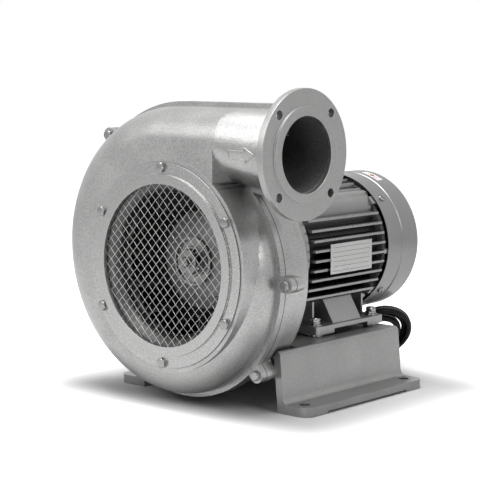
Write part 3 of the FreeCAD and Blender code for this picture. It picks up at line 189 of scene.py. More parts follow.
def cast_grain_group():
    """Grain of a blasted casting: speckle and broad patches as values, relief as a normal."""
    group, given = effect_group("cast_grain", {"Grain Scale": 700.0, "Relief": 0.3}, ("Speckle", "Patches"))
    place = add(group, "TexCoord").outputs["Object"]
    fine = add(group, "TexNoise", {"Vector": place, "Scale": given["Grain Scale"], "Detail": 4.0,
                                   "Roughness": 0.6}).outputs["Fac"]
    broad = add(group, "TexNoise", {"Vector": place, "Scale": 22.0, "Detail": 4.0}).outputs["Fac"]
    bump = add(group, "Bump", {"Distance": 0.0004, "Height": fine, "Strength": given["Relief"]})
    feed(group, group.nodes.new("NodeGroupOutput"),
         {"Speckle": fine, "Patches": broad, "Normal": bump.outputs["Normal"]})
    return group


cast_grain = cast_grain_group()


def effect_finish(name, group, numbers, blend, tones, rough, metallic):
    """A finish whose colour follows two values of an effect group, and whose gloss its patches."""
    weighted, plain, weight, dark_end = blend
    material = bpy.data.materials.new(name)
    material.use_nodes = True
    tree = material.node_tree
    effect = add(tree, "Group", numbers, node_tree=group, name="effect").outputs
    mixed = add(tree, "Math", {0: effect[weighted], 1: weight, 2: effect[plain]}, operation="MULTIPLY_ADD")
    tone = add(tree, "ValToRGB", {"Fac": mixed.outputs[0]}, name="tone")
    for number, position in enumerate((dark_end, 0.95)):
        tone.color_ramp.elements[number].position = position
        tone.color_ramp.elements[number].color = (*tones[number], 1.0)
    gloss = add(tree, "MapRange", {"Value": effect["Patches"], "From Min": 0.3, "From Max": 0.7,
                                   "To Min": rough[0], "To Max": rough[1]}, name="gloss")
    feed(tree, tree.nodes["Principled BSDF"],
         {"Metallic": metallic, "Base Color": tone.outputs["Color"], "Roughness": gloss.outputs["Result"],
          "Normal": effect["Normal"]})
    return material


def grained(name, dark, light, rough, grain_scale, relief, metallic):
    """A blasted, moulded or plated finish: its colour follows grain and broad patches."""
    return effect_finish(name, cast_grain, {"Grain Scale": grain_scale, "Relief": relief},
                         ("Patches", "Speckle", 0.45, 0.50), (dark, light), rough, metallic)


def only(piece):
    """Selects one object and makes it active."""
    bpy.ops.object.select_all(action="DESELECT")
    piece.select_set(True)
    bpy.context.view_layer.objects.active = piece


def apply_modifier(piece, kind, **settings):
    """Adds a modifier with these settings to a piece and applies it."""
    only(piece)
    modifier = piece.modifiers.new(kind.lower(), kind)
    for name, value in settings.items():
        setattr(modifier, name, value)
    bpy.ops.object.modifier_apply(modifier=modifier.name)


def fit(piece, body, slot, material, *replaced):
    """Gives a piece its material and hands it to the frame."""
    piece.data.materials.clear()
    piece.data.materials.append(material)
    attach(piece, body)
    if replaced:
        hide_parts(*replaced)
    piece.select_set(False)
    return piece


def merged_copy(name):
    """A copy of a node with its loose triangles joined and its flat faces whole."""
    piece = bpy.data.objects.new(name + "_finish", nodes[name].data.copy())
    bpy.context.scene.collection.objects.link(piece)
    only(piece)
    bpy.ops.object.mode_set(mode="EDIT")
    bpy.ops.mesh.select_all(action="SELECT")
    bpy.ops.mesh.remove_doubles(threshold=0.000005)
    bpy.ops.mesh.dissolve_limited(angle_limit=math.radians(0.6))
    bpy.ops.object.mode_set(mode="OBJECT")
    return piece


def rounded(piece, width, segments, degrees):
    """Rounds the edges of a piece that are sharper than this."""
    apply_modifier(piece, "BEVEL", width=width, segments=segments, limit_method="ANGLE",
                   angle_limit=math.radians(degrees), use_clamp_overlap=True)


def smooth(degrees):
    """Shades the selected piece smooth but for edges sharper than this."""
    bpy.ops.object.shade_smooth_by_angle(angle=math.radians(degrees))


def soft_edged(name, body, slot, material, edge=0.0005, segments=2):
    """A node's own shape with its sharp edges rounded as a casting or a worn part has them."""
    piece = merged_copy(name)
    rounded(piece, edge, segments, 34.0)
    smooth(40.0)
    apply_modifier(piece, "WEIGHTED_NORMAL", keep_sharp=True)
    return fit(piece, body, slot, material, name)


def looks_inwards(place, normal):
    """Whether a face of the shells looks into the scroll's or the duct's air space."""
    duct_axis = Vector((place.x, seam_y, duct_height))
    if place.x > duct_start:
        return (duct_axis - place).length < duct_inside and normal.dot(duct_axis - place) > 0.0
    middle = Vector((0.0, seam_y, shaft_height))
    return scroll_inside[0] < place.y < scroll_inside[1] and normal.dot(middle - place) > inward_least


def paint_inside_shade(piece, material):
    """Gives the faces that look into the cavity a near-black finish: painted shade inside the scroll and
    duct.
    """
    piece.data.materials.append(material)
    for face in piece.data.polygons:
        if looks_inwards(face.center, face.normal):
            face.material_index = 1


def near_plane(tree, centre, narrow, wide):
    """A value that is 0 within a band about a Y plane and 1 beyond it."""
    split = add(tree, "SeparateXYZ", {0: add(tree, "TexCoord").outputs["Object"]})
    shift = add(tree, "Math", {0: split.outputs["Y"], 1: centre}, operation="SUBTRACT")
    size = add(tree, "Math", {0: shift.outputs[0]}, operation="ABSOLUTE")
    band = add(tree, "MapRange", {"Value": size.outputs[0], "From Min": narrow, "From Max": wide})
    return band.outputs["Result"]


def darkened(material, mask, dark, name):
    """Mixes a dark colour into a material's tone where the mask is 0."""
    tree = material.node_tree
    grime = add(tree, "Mix", data_type="RGBA", name=name)
    feed(tree, grime, {"A": (*dark, 1.0), "Factor": mask, "B": tree.nodes["tone"].outputs["Color"]})
    feed(tree, tree.nodes["Principled BSDF"], {"Base Color": grime.outputs["Result"]})


cast_aluminium = grained("cast_aluminium", cast_dark, cast_light, (0.29, 0.34), 760.0, 0.36, 0.82)
seam_clear = near_plane(cast_aluminium.node_tree, seam_y, seam_line, seam_soft)
darkened(cast_aluminium, seam_clear, (0.03, 0.03, 0.03), "seam")
# A near-black casting finish that paints shade: inside the cavity, in the flange's holes and under the
# motor foot.
painted_shade_casting = grained("painted_shade_casting", (0.06, 0.06, 0.06), (0.12, 0.12, 0.12), (0.55, 0.65), 480.0, 0.45,
                      0.20)
front_shell = soft_edged("front_volute_shell", "casing", "cast_housing", cast_aluminium, cast_edge)
# The faces towards the scroll's and the duct's air space are painted dark as shade.
paint_inside_shade(front_shell, painted_shade_casting)


def surface_hits(piece, points, direction):
    """Where rays from points along a direction first meet a piece."""
    found = []
    for point in points:
        hit, place, _, _ = piece.ray_cast(Vector(point), Vector(direction))
        if hit:
            found.append(place)
    return found


def outline_mark(name, points, radius, body, slot, material):
    """A raised line along points, closed, made a mesh."""
    curve = bpy.data.curves.new(name, "CURVE")
    curve.dimensions = "3D"
    curve.bevel_depth = radius
    curve.bevel_resolution = 2
    spline = curve.splines.new("POLY")
    spline.points.add(len(points) - 1)
    for knot, place in zip(spline.points, points):
        knot.co = (*place, 1.0)
    spline.use_cyclic_u = True
    obj = bpy.data.objects.new(name, curve)
    bpy.context.scene.collection.objects.link(obj)
    only(obj)
    bpy.ops.object.convert(target="MESH")
    bpy.ops.object.shade_smooth()
    return fit(bpy.context.object, body, slot, material)


arrow_tail = 0.0880
arrow_neck = 0.1080
arrow_tip = 0.1205
arrow_half_body = 0.0040
arrow_half_head = 0.0075
arrow_ridge = 0.0007
arrow_steps = 6
arrow_before = -0.25
arrow_shape = [(arrow_tail, -arrow_half_body), (arrow_neck, -arrow_half_body),
               (arrow_neck, -arrow_half_head), (arrow_tip, 0.0), (arrow_neck, arrow_half_head),
               (arrow_neck, arrow_half_body), (arrow_tail, arrow_half_body)]
arrow_corners = [Vector((x, arrow_before, duct_height + rise)) for x, rise in arrow_shape]
arrow_line = []
for start, end in zip(arrow_corners, arrow_corners[1:] + arrow_corners[:1]):
    arrow_line += [start.lerp(end, step / arrow_steps) for step in range(arrow_steps)]
outline_mark("flow_arrow", surface_hits(front_shell, arrow_line, (0, 1, 0)), arrow_ridge, "casing",
             "cast_housing", cast_aluminium)


# Rear volute shell. The other cast half, with the rest of the duct and the screw bosses;
# cast in the same alloy and joined to the front half on a flat seam.
rear_shell = soft_edged("rear_volute_shell", "casing", "cast_housing", cast_aluminium, cast_edge)
# Its faces towards the cavity get the same painted shade.
paint_inside_shade(rear_shell, painted_shade_casting)


# Outlet flange. A turned aluminium disc shrunk on the duct, faced and bored, with four
# clearance holes; its face shows the turning and the handling marks.
flange_centre = (0.1475, seam_y, duct_height)
centre_labels = ("Centre X", "Centre Y", "Centre Z")


def turned_group(name, across):
    """Fine marks around a centre, measured across an axis, as values and a normal."""
    numbers = dict.fromkeys(centre_labels, 0.0) | {"Mark Scale": 900.0, "Relief": 0.1}
    group, given = effect_group(name, numbers, ("Marks", "Patches", "Reach"))
    place = add(group, "TexCoord").outputs["Object"]
    centre = add(group, "CombineXYZ", {index: given[label] for index, label in enumerate(centre_labels)})
    offset = add(group, "VectorMath", {0: place, 1: centre.outputs[0]}, operation="SUBTRACT")
    flat = add(group, "VectorMath", {0: offset.outputs[0], 1: across}, operation="MULTIPLY")
    reach = add(group, "VectorMath", {0: flat.outputs[0]}, operation="LENGTH").outputs["Value"]
    line = add(group, "CombineXYZ", {0: reach})
    marks = add(group, "TexNoise", {"Vector": line.outputs[0], "Scale": given["Mark Scale"],
                                    "Detail": 3.0}).outputs["Fac"]
    patches = add(group, "TexNoise", {"Vector": place, "Scale": 1300.0, "Detail": 4.0}).outputs["Fac"]
    bump = add(group, "Bump", {"Distance": 0.0003, "Height": marks, "Strength": given["Relief"]})
    feed(group, group.nodes.new("NodeGroupOutput"),
         {"Marks": marks, "Patches": patches, "Reach": reach, "Normal": bump.outputs["Normal"]})
    return group


turned_about_x = turned_group("turned_about_x", (0.0, 1.0, 1.0))
turned_about_y = turned_group("turned_about_y", (1.0, 0.0, 1.0))


def turned_metal(name, group, centre, dark, light, rough, mark_scale, relief, metallic):
    """A turned or spun finish: its colour follows marks about a centre and small patches."""
    numbers = dict(zip(centre_labels, centre)) | {"Mark Scale": mark_scale, "Relief": relief}
    return effect_finish(name, group, numbers, ("Marks", "Patches", 0.50, 0.55), (dark, light), rough,
                         metallic)


flange_metal = turned_metal("turned_flange", turned_about_x, flange_centre, (0.27, 0.27, 0.268),
                            (0.40, 0.40, 0.396), (0.32, 0.36), 1500.0, 0.06, 0.80)
outlet_flange = soft_edged("outlet_flange", "casing", "machined_ring", flange_metal, 0.0006)
flange_hole_circle = 0.057
flange_hole_reach = 0.0049
# The faces inside the four holes get the near-black finish: painted shade in the holes.
outlet_flange.data.materials.append(painted_shade_casting)
for face in outlet_flange.data.polygons:
    for number in range(4):
        angle = math.radians(45 + 90 * number)
        hole = Vector((face.center.x, flange_centre[1] + flange_hole_circle * math.cos(angle),
                       flange_centre[2] + flange_hole_circle * math.sin(angle)))
        if (face.center - hole).length < flange_hole_reach and abs(face.normal.x) < 0.5:
            face.material_index = 1


# Inlet ring. A turned aluminium ring with a raised inner step, screwed over the guard
# and the nozzle into the front shell's recess.
ring_centre = (0.0, -0.17, shaft_height)
ring_metal = turned_metal("turned_ring", turned_about_y, ring_centre, (0.32, 0.32, 0.317),
                          (0.45, 0.45, 0.446), (0.24, 0.28), 1600.0, 0.05, 0.85)
soft_edged("inlet_ring", "casing", "machined_ring", ring_metal, 0.0009, 3)


# Ring, seam and base-lug screws. Zinc-plated hex screws with a chamfered head; one head is
# cut from a bar and copied to each place.
zinc_dark = (0.22, 0.22, 0.22)
zinc_light = (0.36, 0.36, 0.355)
zinc_steel = grained("zinc_steel", zinc_dark, zinc_light, (0.20, 0.28), 1200.0, 0.10, 1.0)
hex_flats = 0.010
hex_height = 0.004
hex_chamfer = 0.0006
hex_shank = 0.0028
hex_reach = 0.012
ring_screw_circle = 0.10225
ring_face_y = -0.1735
lug_face_y = -0.128


def cylinder(name, vertices, radius, depth, place, **settings):
    """A cylinder with its place and turn applied, the only piece selected."""
    bpy.ops.object.select_all(action="DESELECT")
    bpy.ops.mesh.primitive_cylinder_add(vertices=vertices, radius=radius, depth=depth, location=place,
                                        **settings)
    piece = bpy.context.object
    piece.name = name
    bpy.ops.object.transform_apply(location=True, rotation=True, scale=True)
    return piece


def joined(piece, others):
    """Joins other pieces into one."""
    only(piece)
    for other in others:
        other.select_set(True)
    bpy.ops.object.join()


def cut_by(piece, tool, operation):
    """Applies a boolean with a tool that is then removed."""
    apply_modifier(piece, "BOOLEAN", operation=operation, solver="EXACT", object=tool)
    bpy.data.objects.remove(tool)


def hex_head(name, flats, height, chamfer, shank, reach):
    """A hex head with a turned chamfer on its face and its shank below, seat at the origin, facing +Z."""
    bpy.ops.object.select_all(action="DESELECT")
    bpy.ops.mesh.primitive_cylinder_add(vertices=6, radius=flats / math.sqrt(3), depth=height,
                                        location=(0, 0, height / 2))
    head = bpy.context.object
    head.name = name
    bpy.ops.mesh.primitive_cone_add(vertices=48, radius1=flats / math.sqrt(3) + 4 * height,
                                    radius2=flats / 2 - chamfer, depth=4 * height,
                                    location=(0, 0, height - 2 * height))
    cut_by(head, bpy.context.object, "INTERSECT")
    bpy.ops.mesh.primitive_cylinder_add(vertices=24, radius=shank, depth=reach, location=(0, 0, -reach / 2))
    joined(head, [bpy.context.object])
    bpy.ops.object.transform_apply(location=True, rotation=True, scale=True)
    rounded(head, 0.00015, 2, 25.0)
    smooth(30.0)
    head.select_set(False)
    return head


def placed_copy(model, name, place, facing, spin=0.0):
    """A copy of a finished model with its own mesh, turned from +Z to a direction and moved."""
    copy = bpy.data.objects.new(name, model.data.copy())
    bpy.context.scene.collection.objects.link(copy)
    turn = Vector((0, 0, 1)).rotation_difference(Vector(facing)).to_matrix().to_4x4()
    copy.data.transform(Matrix.Translation(Vector(place)) @ turn @ Matrix.Rotation(spin, 4, "Z"))
    return copy


def screw_set(model, node, places, facing, body, slot, material, spins=(0.0,)):
    """A screw of this model at each place, standing for the node's screws."""
    for number, place in enumerate(places):
        screw = placed_copy(model, node + "_" + str(number + 1), place, facing, spins[number % len(spins)])
        fit(screw, body, slot, material, node)


screw_model = hex_head("hex_screw_model", hex_flats, hex_height, hex_chamfer, hex_shank, hex_reach)
ring_places = []
for number in range(6):
    angle = math.radians(30 + 60 * number)
    ring_places.append((ring_screw_circle * math.cos(angle), ring_face_y,
                        shaft_height + ring_screw_circle * math.sin(angle)))
screw_set(screw_model, "inlet_ring_screws", ring_places, (0, -1, 0), "casing", "steel_fasteners",
          zinc_steel, (0.1, 0.5, 0.8, 0.3, 0.0, 0.65))
seam_places = [(x, lug_face_y, z) for x, z in ((0.12943, 0.1394), (-0.16521, 0.10873), (-0.17446, 0.17752),
                                               (-0.12498, 0.28242))]
screw_set(screw_model, "volute_seam_screws", seam_places, (0, -1, 0), "casing", "steel_fasteners",
          zinc_steel, (0.2, 0.7, 0.4))
screw_set(screw_model, "base_lug_screws", [(0.08965, lug_face_y, 0.0423)], (0, -1, 0), "casing",
          "steel_fasteners", zinc_steel)
bpy.data.objects.remove(screw_model)


# Inlet mesh guard. Crimped round steel wires at right angles, woven over and under, welded
# into a pressed rim that the ring clamps.
guard_steel = grained("guard_steel", (0.50, 0.50, 0.49), (0.64, 0.64, 0.63), (0.24, 0.34), 1400.0, 0.05,
                      1.0)
guard_y = -0.1712
guard_rim = 0.0880
rim_wall = 0.0022
wire_end = 0.0857
wire_radius = 0.00022
wire_pitch = 0.0079
wire_count = 10
wire_steps = 4


def crimped_wire(length, radius, pitch, steps, swing):
    """One wire along X through the origin that waves in Y, grown step by step from a circle."""
    bpy.ops.object.select_all(action="DESELECT")
    count = 2 * int(length / pitch) + 4
    start = -count * pitch / 2
    bpy.ops.mesh.primitive_circle_add(vertices=8, radius=radius, fill_type="NOTHING",
                                      location=(start, swing * math.cos(math.pi * start / pitch), 0),
                                      rotation=(0, math.pi / 2, 0))
    wire = bpy.context.object
    bpy.ops.object.transform_apply(location=True, rotation=True, scale=True)
    bpy.ops.object.mode_set(mode="EDIT")
    bpy.ops.mesh.select_all(action="SELECT")
    last = start
    for step in range(count * steps):
        along = start + (step + 1) * pitch / steps
        rise = swing * (math.cos(math.pi * along / pitch) - math.cos(math.pi * last / pitch))
        bpy.ops.mesh.extrude_region_move(TRANSFORM_OT_translate={"value": (along - last, rise, 0)})
        last = along
    bpy.ops.mesh.select_all(action="SELECT")
    bpy.ops.mesh.normals_make_consistent(inside=False)
    bpy.ops.object.mode_set(mode="OBJECT")
    bpy.ops.object.shade_smooth()
    return wire


wire_model = crimped_wire(wire_end, wire_radius, wire_pitch, wire_steps, wire_radius)
wire_model.name = "wire_model"
wires = []
for side, turn in ((0, math.radians(45)), (1, math.radians(-45))):
    for lane in range(-wire_count, wire_count + 1):
        offset = lane * wire_pitch
        half = math.sqrt(wire_end ** 2 - offset ** 2)
        wire = bpy.data.objects.new("guard_wire", wire_model.data.copy())
        bpy.context.scene.collection.objects.link(wire)
        only(wire)
        bpy.ops.object.mode_set(mode="EDIT")
        for sign in (-1, 1):
            bpy.ops.mesh.select_all(action="SELECT")
            bpy.ops.mesh.bisect(plane_co=(sign * half, 0, 0), plane_no=(sign, 0, 0), clear_outer=True,
                                use_fill=True)
        bpy.ops.object.mode_set(mode="OBJECT")
        flip = Matrix.Scale(-1.0 if (lane + side) % 2 else 1.0, 4, (0, 1, 0))
        wire.data.transform(Matrix.Translation((0, guard_y, shaft_height)) @ Matrix.Rotation(turn, 4, "Y")
                            @ Matrix.Translation((0, 0, offset)) @ flip)
        wires.append(wire)
bpy.data.objects.remove(wire_model)
guard = cylinder("guard_of_woven_wire", 128, guard_rim, rim_wall, (0, guard_y, shaft_height),
                 end_fill_type="NOTHING", rotation=(math.pi / 2, 0, 0))
apply_modifier(guard, "SOLIDIFY", thickness=rim_wall, offset=-1.0)
rounded(guard, 0.0005, 3, 40.0)
joined(guard, wires)
bpy.ops.object.mode_set(mode="EDIT")
bpy.ops.mesh.select_all(action="SELECT")
bpy.ops.mesh.normals_make_consistent(inside=False)
bpy.ops.object.mode_set(mode="OBJECT")
smooth(50.0)
fit(guard, "casing", "steel_wire", guard_steel, "inlet_mesh_guard")


# Inlet nozzle and impeller. Spun and pressed aluminium sheet: a bell mouth behind the
# guard, then shroud, twelve blades and back plate riveted to a cast hub.
lit_disc_reach = 0.0515
channel_shade_reach = 0.0530
centre_bolt_seat = -0.1365
# The nozzle's spun sheet is coloured very dark: painted shade inside the bell mouth.
spun_sheet = turned_metal("spun_sheet", turned_about_y, ring_centre, (0.06, 0.06, 0.059),
                          (0.11, 0.11, 0.109), (0.34, 0.40), 1200.0, 0.10, 0.9)
plate_sheet = turned_metal("plate_sheet", turned_about_y, ring_centre, (0.15, 0.15, 0.15),
                           (0.22, 0.22, 0.217), (0.44, 0.48), 900.0, 0.06, 0.25)
# Beyond the blades' inner edge the back plate is painted near black: painted shade in the impeller's
# channels.
back_sheet = plate_sheet.copy()
back_sheet.name = "back_plate_sheet"
tree = back_sheet.node_tree
lit_disc_mask = add(tree, "MapRange", {"Value": tree.nodes["effect"].outputs["Reach"],
                                    "From Min": channel_shade_reach, "From Max": lit_disc_reach})
darkened(back_sheet, lit_disc_mask.outputs["Result"], (0.02, 0.02, 0.02), "painted_shade")
hub_metal = turned_metal("turned_hub", turned_about_y, ring_centre, (0.15, 0.15, 0.149),
                         (0.23, 0.23, 0.228), (0.17, 0.21), 1500.0, 0.06, 0.90)
soft_edged("inlet_nozzle", "casing", "spun_sheet", spun_sheet, 0.0003)
soft_edged("impeller_shroud", "rotor", "spun_sheet", plate_sheet, 0.0003)
soft_edged("impeller_backplate", "rotor", "spun_sheet", back_sheet, 0.0003)
# The blades are coloured near black: painted shade between the shroud and the back plate.
blade_shade_sheet = grained("blade_shade_sheet", (0.03, 0.03, 0.03), (0.06, 0.06, 0.06), (0.50, 0.60), 700.0, 0.2, 0.5)
soft_edged("impeller_blades", "rotor", "spun_sheet", blade_shade_sheet, 0.0003)
soft_edged("impeller_hub", "rotor", "motor_casting", hub_metal, 0.0004)
soft_edged("impeller_washer", "rotor", "steel_fasteners", hub_metal, 0.0004)
bolt_model = hex_head("impeller_bolt_model", hex_flats, 0.005, hex_chamfer, 0.005, 0.02)
screw_set(bolt_model, "impeller_bolt", [(0.0, centre_bolt_seat, shaft_height)], (0, -1, 0), "rotor",
          "steel_fasteners", hub_metal, (0.25,))
bpy.data.objects.remove(bolt_model)


# Base bracket. A cast hat section with a draft on its sides, feet with four holes and a
# fillet along every bend; blasted like the shells but duller.
base_metal = grained("cast_base", (0.21, 0.21, 0.208), (0.34, 0.34, 0.337), (0.28, 0.34), 900.0, 0.34, 0.80)
# A box under the motor foot darkens the base's top: painted shade beneath the foot plate.
foot_shade_middle = (0.0, 0.043, 0.066)
foot_shade_half = (0.078, 0.031, 0.004)
foot_shade_soft = 0.002
tree = base_metal.node_tree
foot_clear = add(tree, "MapRange", {"Value": past_box(tree, foot_shade_middle, foot_shade_half),
                                    "From Max": foot_shade_soft})
darkened(base_metal, foot_clear.outputs["Result"], (0.01, 0.01, 0.01), "shade")
soft_edged("base_bracket", "casing", "cast_housing", base_metal, 0.0014, 3)


# Motor frame, end shields and foot. Die-cast aluminium: long cooling fins around a bored
# body, a shield at each end held by tie rods, and a foot plate under it.
motor_metal = grained("motor_casting", (0.24, 0.24, 0.238), (0.34, 0.34, 0.337), (0.30, 0.36), 1300.0,
                      0.22, 0.80)
# The finned frame is painted near black towards the fin roots: painted shade between the fins.
fin_root = 0.0670
fin_open = 0.0770
frame_metal = motor_metal.copy()
frame_metal.name = "finned_casting"
tree = frame_metal.node_tree
feed(tree, tree.nodes["gloss"], {"To Min": 0.26, "To Max": 0.32})
frame_reach = add(tree, "Group", node_tree=turned_about_y)
feed(tree, frame_reach, dict(zip(centre_labels, ring_centre)))
fin_root_shade_mask = add(tree, "MapRange", {"Value": frame_reach.outputs["Reach"], "From Min": fin_root,
                                     "From Max": fin_open})
darkened(frame_metal, fin_root_shade_mask.outputs["Result"], (0.02, 0.02, 0.02), "painted_shade")
soft_edged("motor_frame", "casing", "motor_casting", frame_metal, 0.0008)
soft_edged("drive_endshield", "casing", "motor_casting", motor_metal, 0.0005)
soft_edged("rear_endshield", "casing", "motor_casting", motor_metal, 0.0005)
motor_foot = soft_edged("motor_foot", "casing", "motor_casting", motor_metal, 0.0006)
# The foot's downward faces get the near-black finish: painted shade under the foot plate.
motor_foot.data.materials.append(painted_shade_casting)
for face in motor_foot.data.polygons:
    if face.normal.z < -0.5:
        face.material_index = 1


# Tie rods and the foot's fasteners. Zinc-plated rods with hex nuts; M8 bolts through flat
# and spring washers, spacers under the foot plate, nuts under the base's top.
soft_edged("tie_bolts", "casing", "steel_fasteners", zinc_steel, 0.0003)
foot_places = [(-0.07, -0.007), (-0.07, 0.093), (0.07, -0.007), (0.07, 0.093)]
spacer_seat = 0.0650
spacer_height = 0.0025
washer_seat = 0.0765
washer_height = 0.0016
spring_height = 0.0022
spring_seat = washer_seat + washer_height
bolt_seat = spring_seat + spring_height
foot_bolt_flats = 0.0105
foot_bolt_height = 0.0048
foot_bolt_shank = 0.0040
foot_bolt_reach = 0.0333
ring_edge = 0.00025
spring_cut = 0.0010


def pick_faces(piece, wanted):
    """In edit mode, selects just the faces whose middle and normal are wanted."""
    bpy.ops.mesh.select_all(action="DESELECT")
    shape = bmesh.from_edit_mesh(piece.data)
    for face in shape.faces:
        face.select = wanted(face.calc_center_median(), face.normal)
    bmesh.update_edit_mesh(piece.data)


def pressed_ring(name, outer, bore, thickness, split):
    """A flat ring with eased edges at the origin; a spring ring is cut through."""
    ring = cylinder(name, 64, outer, thickness, (0, 0, thickness / 2), end_fill_type="NOTHING")
    if split:
        bpy.ops.object.mode_set(mode="EDIT")
        bpy.ops.mesh.select_all(action="SELECT")
        bpy.ops.mesh.bisect(plane_co=(0, spring_cut / 2, 0), plane_no=(0, 1, 0), use_fill=False)
        pick_faces(ring, lambda middle, normal: middle.x > 0 and 0 <= middle.y < spring_cut)
        bpy.ops.mesh.delete(type="FACE")
        bpy.ops.object.mode_set(mode="OBJECT")
    apply_modifier(ring, "SOLIDIFY", thickness=outer - bore, offset=-1.0)
    rounded(ring, ring_edge, 2, 40.0)
    smooth(40.0)
    ring.select_set(False)
    return ring


foot_models = (
    ("foot_bolts", hex_head("foot_bolt_model", foot_bolt_flats, foot_bolt_height, 0.0008, foot_bolt_shank,
                            foot_bolt_reach), bolt_seat, (0.1, 0.6, 0.35, 0.8)),
    ("foot_washers", pressed_ring("washer_model", 0.0078, 0.0043, washer_height, False), washer_seat,
     (0.0,)),
    ("foot_spring_washers", pressed_ring("spring_model", 0.0058, 0.0043, spring_height, True), spring_seat,
     (0.5, 1.7, 2.8, 4.1)),
    ("foot_spacers", pressed_ring("spacer_model", 0.0085, 0.0050, spacer_height, False), spacer_seat,
     (0.0,)))
for node, model, seat, spins in foot_models:
    screw_set(model, node, [(x, y, seat) for x, y in foot_places], (0, 0, 1), "casing", "steel_fasteners",
              zinc_steel, spins)
    bpy.data.objects.remove(model)
soft_edged("foot_nuts", "casing", "steel_fasteners", zinc_steel, 0.0004)


# Fan cowl. A cup spun from sheet and painted silver grey, with a step near its mouth and
# ring slots in its end; cheese-head screws hold it and a small sticker shows the turning way.
cowl_paint = grained("cowl_paint", (0.22, 0.22, 0.22), (0.26, 0.26, 0.26), (0.30, 0.34), 1800.0, 0.05, 0.80)
fan_cowl = soft_edged("fan_cowl", "casing", "cowl_sheet", cowl_paint, 0.0004)
cowl_centre = Vector((0.0, 0.0, shaft_height))
cowl_bore = 0.0780
cowl_outside = 0.0794
cowl_screw_y = 0.1260
wall_looks_in = -0.3
end_looks_in = -0.8
# The cowl's inner faces are coloured near black: painted shade inside the cowl.
cowl_inside_shade = grained("cowl_inside_shade", (0.02, 0.02, 0.02), (0.04, 0.04, 0.04), (0.55, 0.65), 900.0, 0.20,
                      0.10)
fan_cowl.data.materials.append(cowl_inside_shade)
for face in fan_cowl.data.polygons:
    outwards = Vector((face.center.x, 0.0, face.center.z)) - cowl_centre
    inner_wall = face.normal.dot(outwards.normalized()) < wall_looks_in
    inner_end = face.normal.y < end_looks_in and outwards.length < cowl_bore
    if inner_wall or inner_end:
        face.material_index = 1


def slotted_head(name, radius, height, reach):
    """A low domed head with a driver slot and its shank, seat at the origin, facing +Z."""
    head = cylinder(name, 32, radius, height, (0, 0, height / 2))
    bpy.ops.object.mode_set(mode="EDIT")
    pick_faces(head, lambda middle, normal: normal.z > 0.9)
    bpy.ops.mesh.bevel(offset=height * 0.5, segments=4, affect="EDGES")
    bpy.ops.object.mode_set(mode="OBJECT")
    bpy.ops.mesh.primitive_cube_add(size=1.0, location=(0, 0, height))
    driver = bpy.context.object
    driver.scale = (radius * 2.4, radius * 0.28, height * 0.9)
    cut_by(head, driver, "DIFFERENCE")
    bpy.ops.mesh.primitive_cylinder_add(vertices=20, radius=radius * 0.5, depth=reach,
                                        location=(0, 0, -reach / 2))
    joined(head, [bpy.context.object])
    bpy.ops.object.transform_apply(location=True, rotation=True, scale=True)
    smooth(35.0)
    head.select_set(False)
    return head


cowl_screw_model = slotted_head("cowl_screw_model", 0.004, 0.0022, 0.009)
for number, degrees in enumerate((42.0, 138.0, 222.0, 318.0)):
    angle = math.radians(degrees)
    outwards = Vector((math.cos(angle), 0.0, math.sin(angle)))
    place = cowl_centre + Vector((0, cowl_screw_y, 0)) + outwards * cowl_outside
    screw = placed_copy(cowl_screw_model, "cowl_screw_" + str(number + 1), place, outwards, 0.6 + number)
    fit(screw, "casing", "steel_fasteners", zinc_steel, "cowl_screws")
bpy.data.objects.remove(cowl_screw_model)


# Turning-way sticker. A small bare vinyl label bent round the cowl's top, with a plain
# printed arrow that shows which way the rotor turns.
sticker_radius = 0.0803
sticker_span = (61.5, 79.5)
sticker_y = (0.1470, 0.1580)
vinyl_thickness = 0.0002
ink_thickness = 0.0001
stem_span = (66.0, 72.9)
stem_half = 0.0008
barb_start = 70.9
barb_step = 2.0
barb_half = 0.0024


def degrees_about_shaft(place):
    """The angle of a place about the shaft, from +X towards +Z."""
    return math.degrees(math.atan2(place.z - shaft_height, place.x))


def bent_patch(name, radius, span, reach, thickness):
    """A thin patch on a cylinder about the shaft, between two angles and two places along it."""
    patch = cylinder(name, 180, radius, reach[1] - reach[0], (0, (reach[0] + reach[1]) / 2, shaft_height),
                     end_fill_type="NOTHING", rotation=(math.pi / 2, 0, 0))
    bpy.ops.object.mode_set(mode="EDIT")
    pick_faces(patch, lambda middle, normal: not span[0] < degrees_about_shaft(middle) < span[1])
    bpy.ops.mesh.delete(type="FACE")
    bpy.ops.object.mode_set(mode="OBJECT")
    apply_modifier(patch, "SOLIDIFY", thickness=thickness, offset=1.0)
    smooth(30.0)
    return patch


vinyl = grained("white_vinyl", (0.62, 0.62, 0.61), (0.74, 0.74, 0.73), (0.40, 0.46), 1500.0, 0.02, 0.0)
print_ink = grained("red_ink", (0.42, 0.05, 0.04), (0.55, 0.08, 0.06), (0.45, 0.50), 1500.0, 0.02, 0.0)
sticker = bent_patch("turning_way_sticker", sticker_radius, sticker_span, sticker_y, vinyl_thickness)
fit(sticker, "casing", "cowl_sheet", vinyl)
print_radius = sticker_radius + vinyl_thickness
print_y = (sticker_y[0] + sticker_y[1]) / 2
arrow_stem = bent_patch("turning_way_arrow", print_radius, stem_span,
                        (print_y - stem_half, print_y + stem_half), ink_thickness)
for number in range(3):
    half = barb_half - stem_half * number
    barb = bent_patch("arrow_barb", print_radius, (barb_start, stem_span[1] + barb_step * number),
                      (print_y - half, print_y + half), ink_thickness)
    joined(arrow_stem, [barb])
fit(arrow_stem, "casing", "cowl_sheet", print_ink)


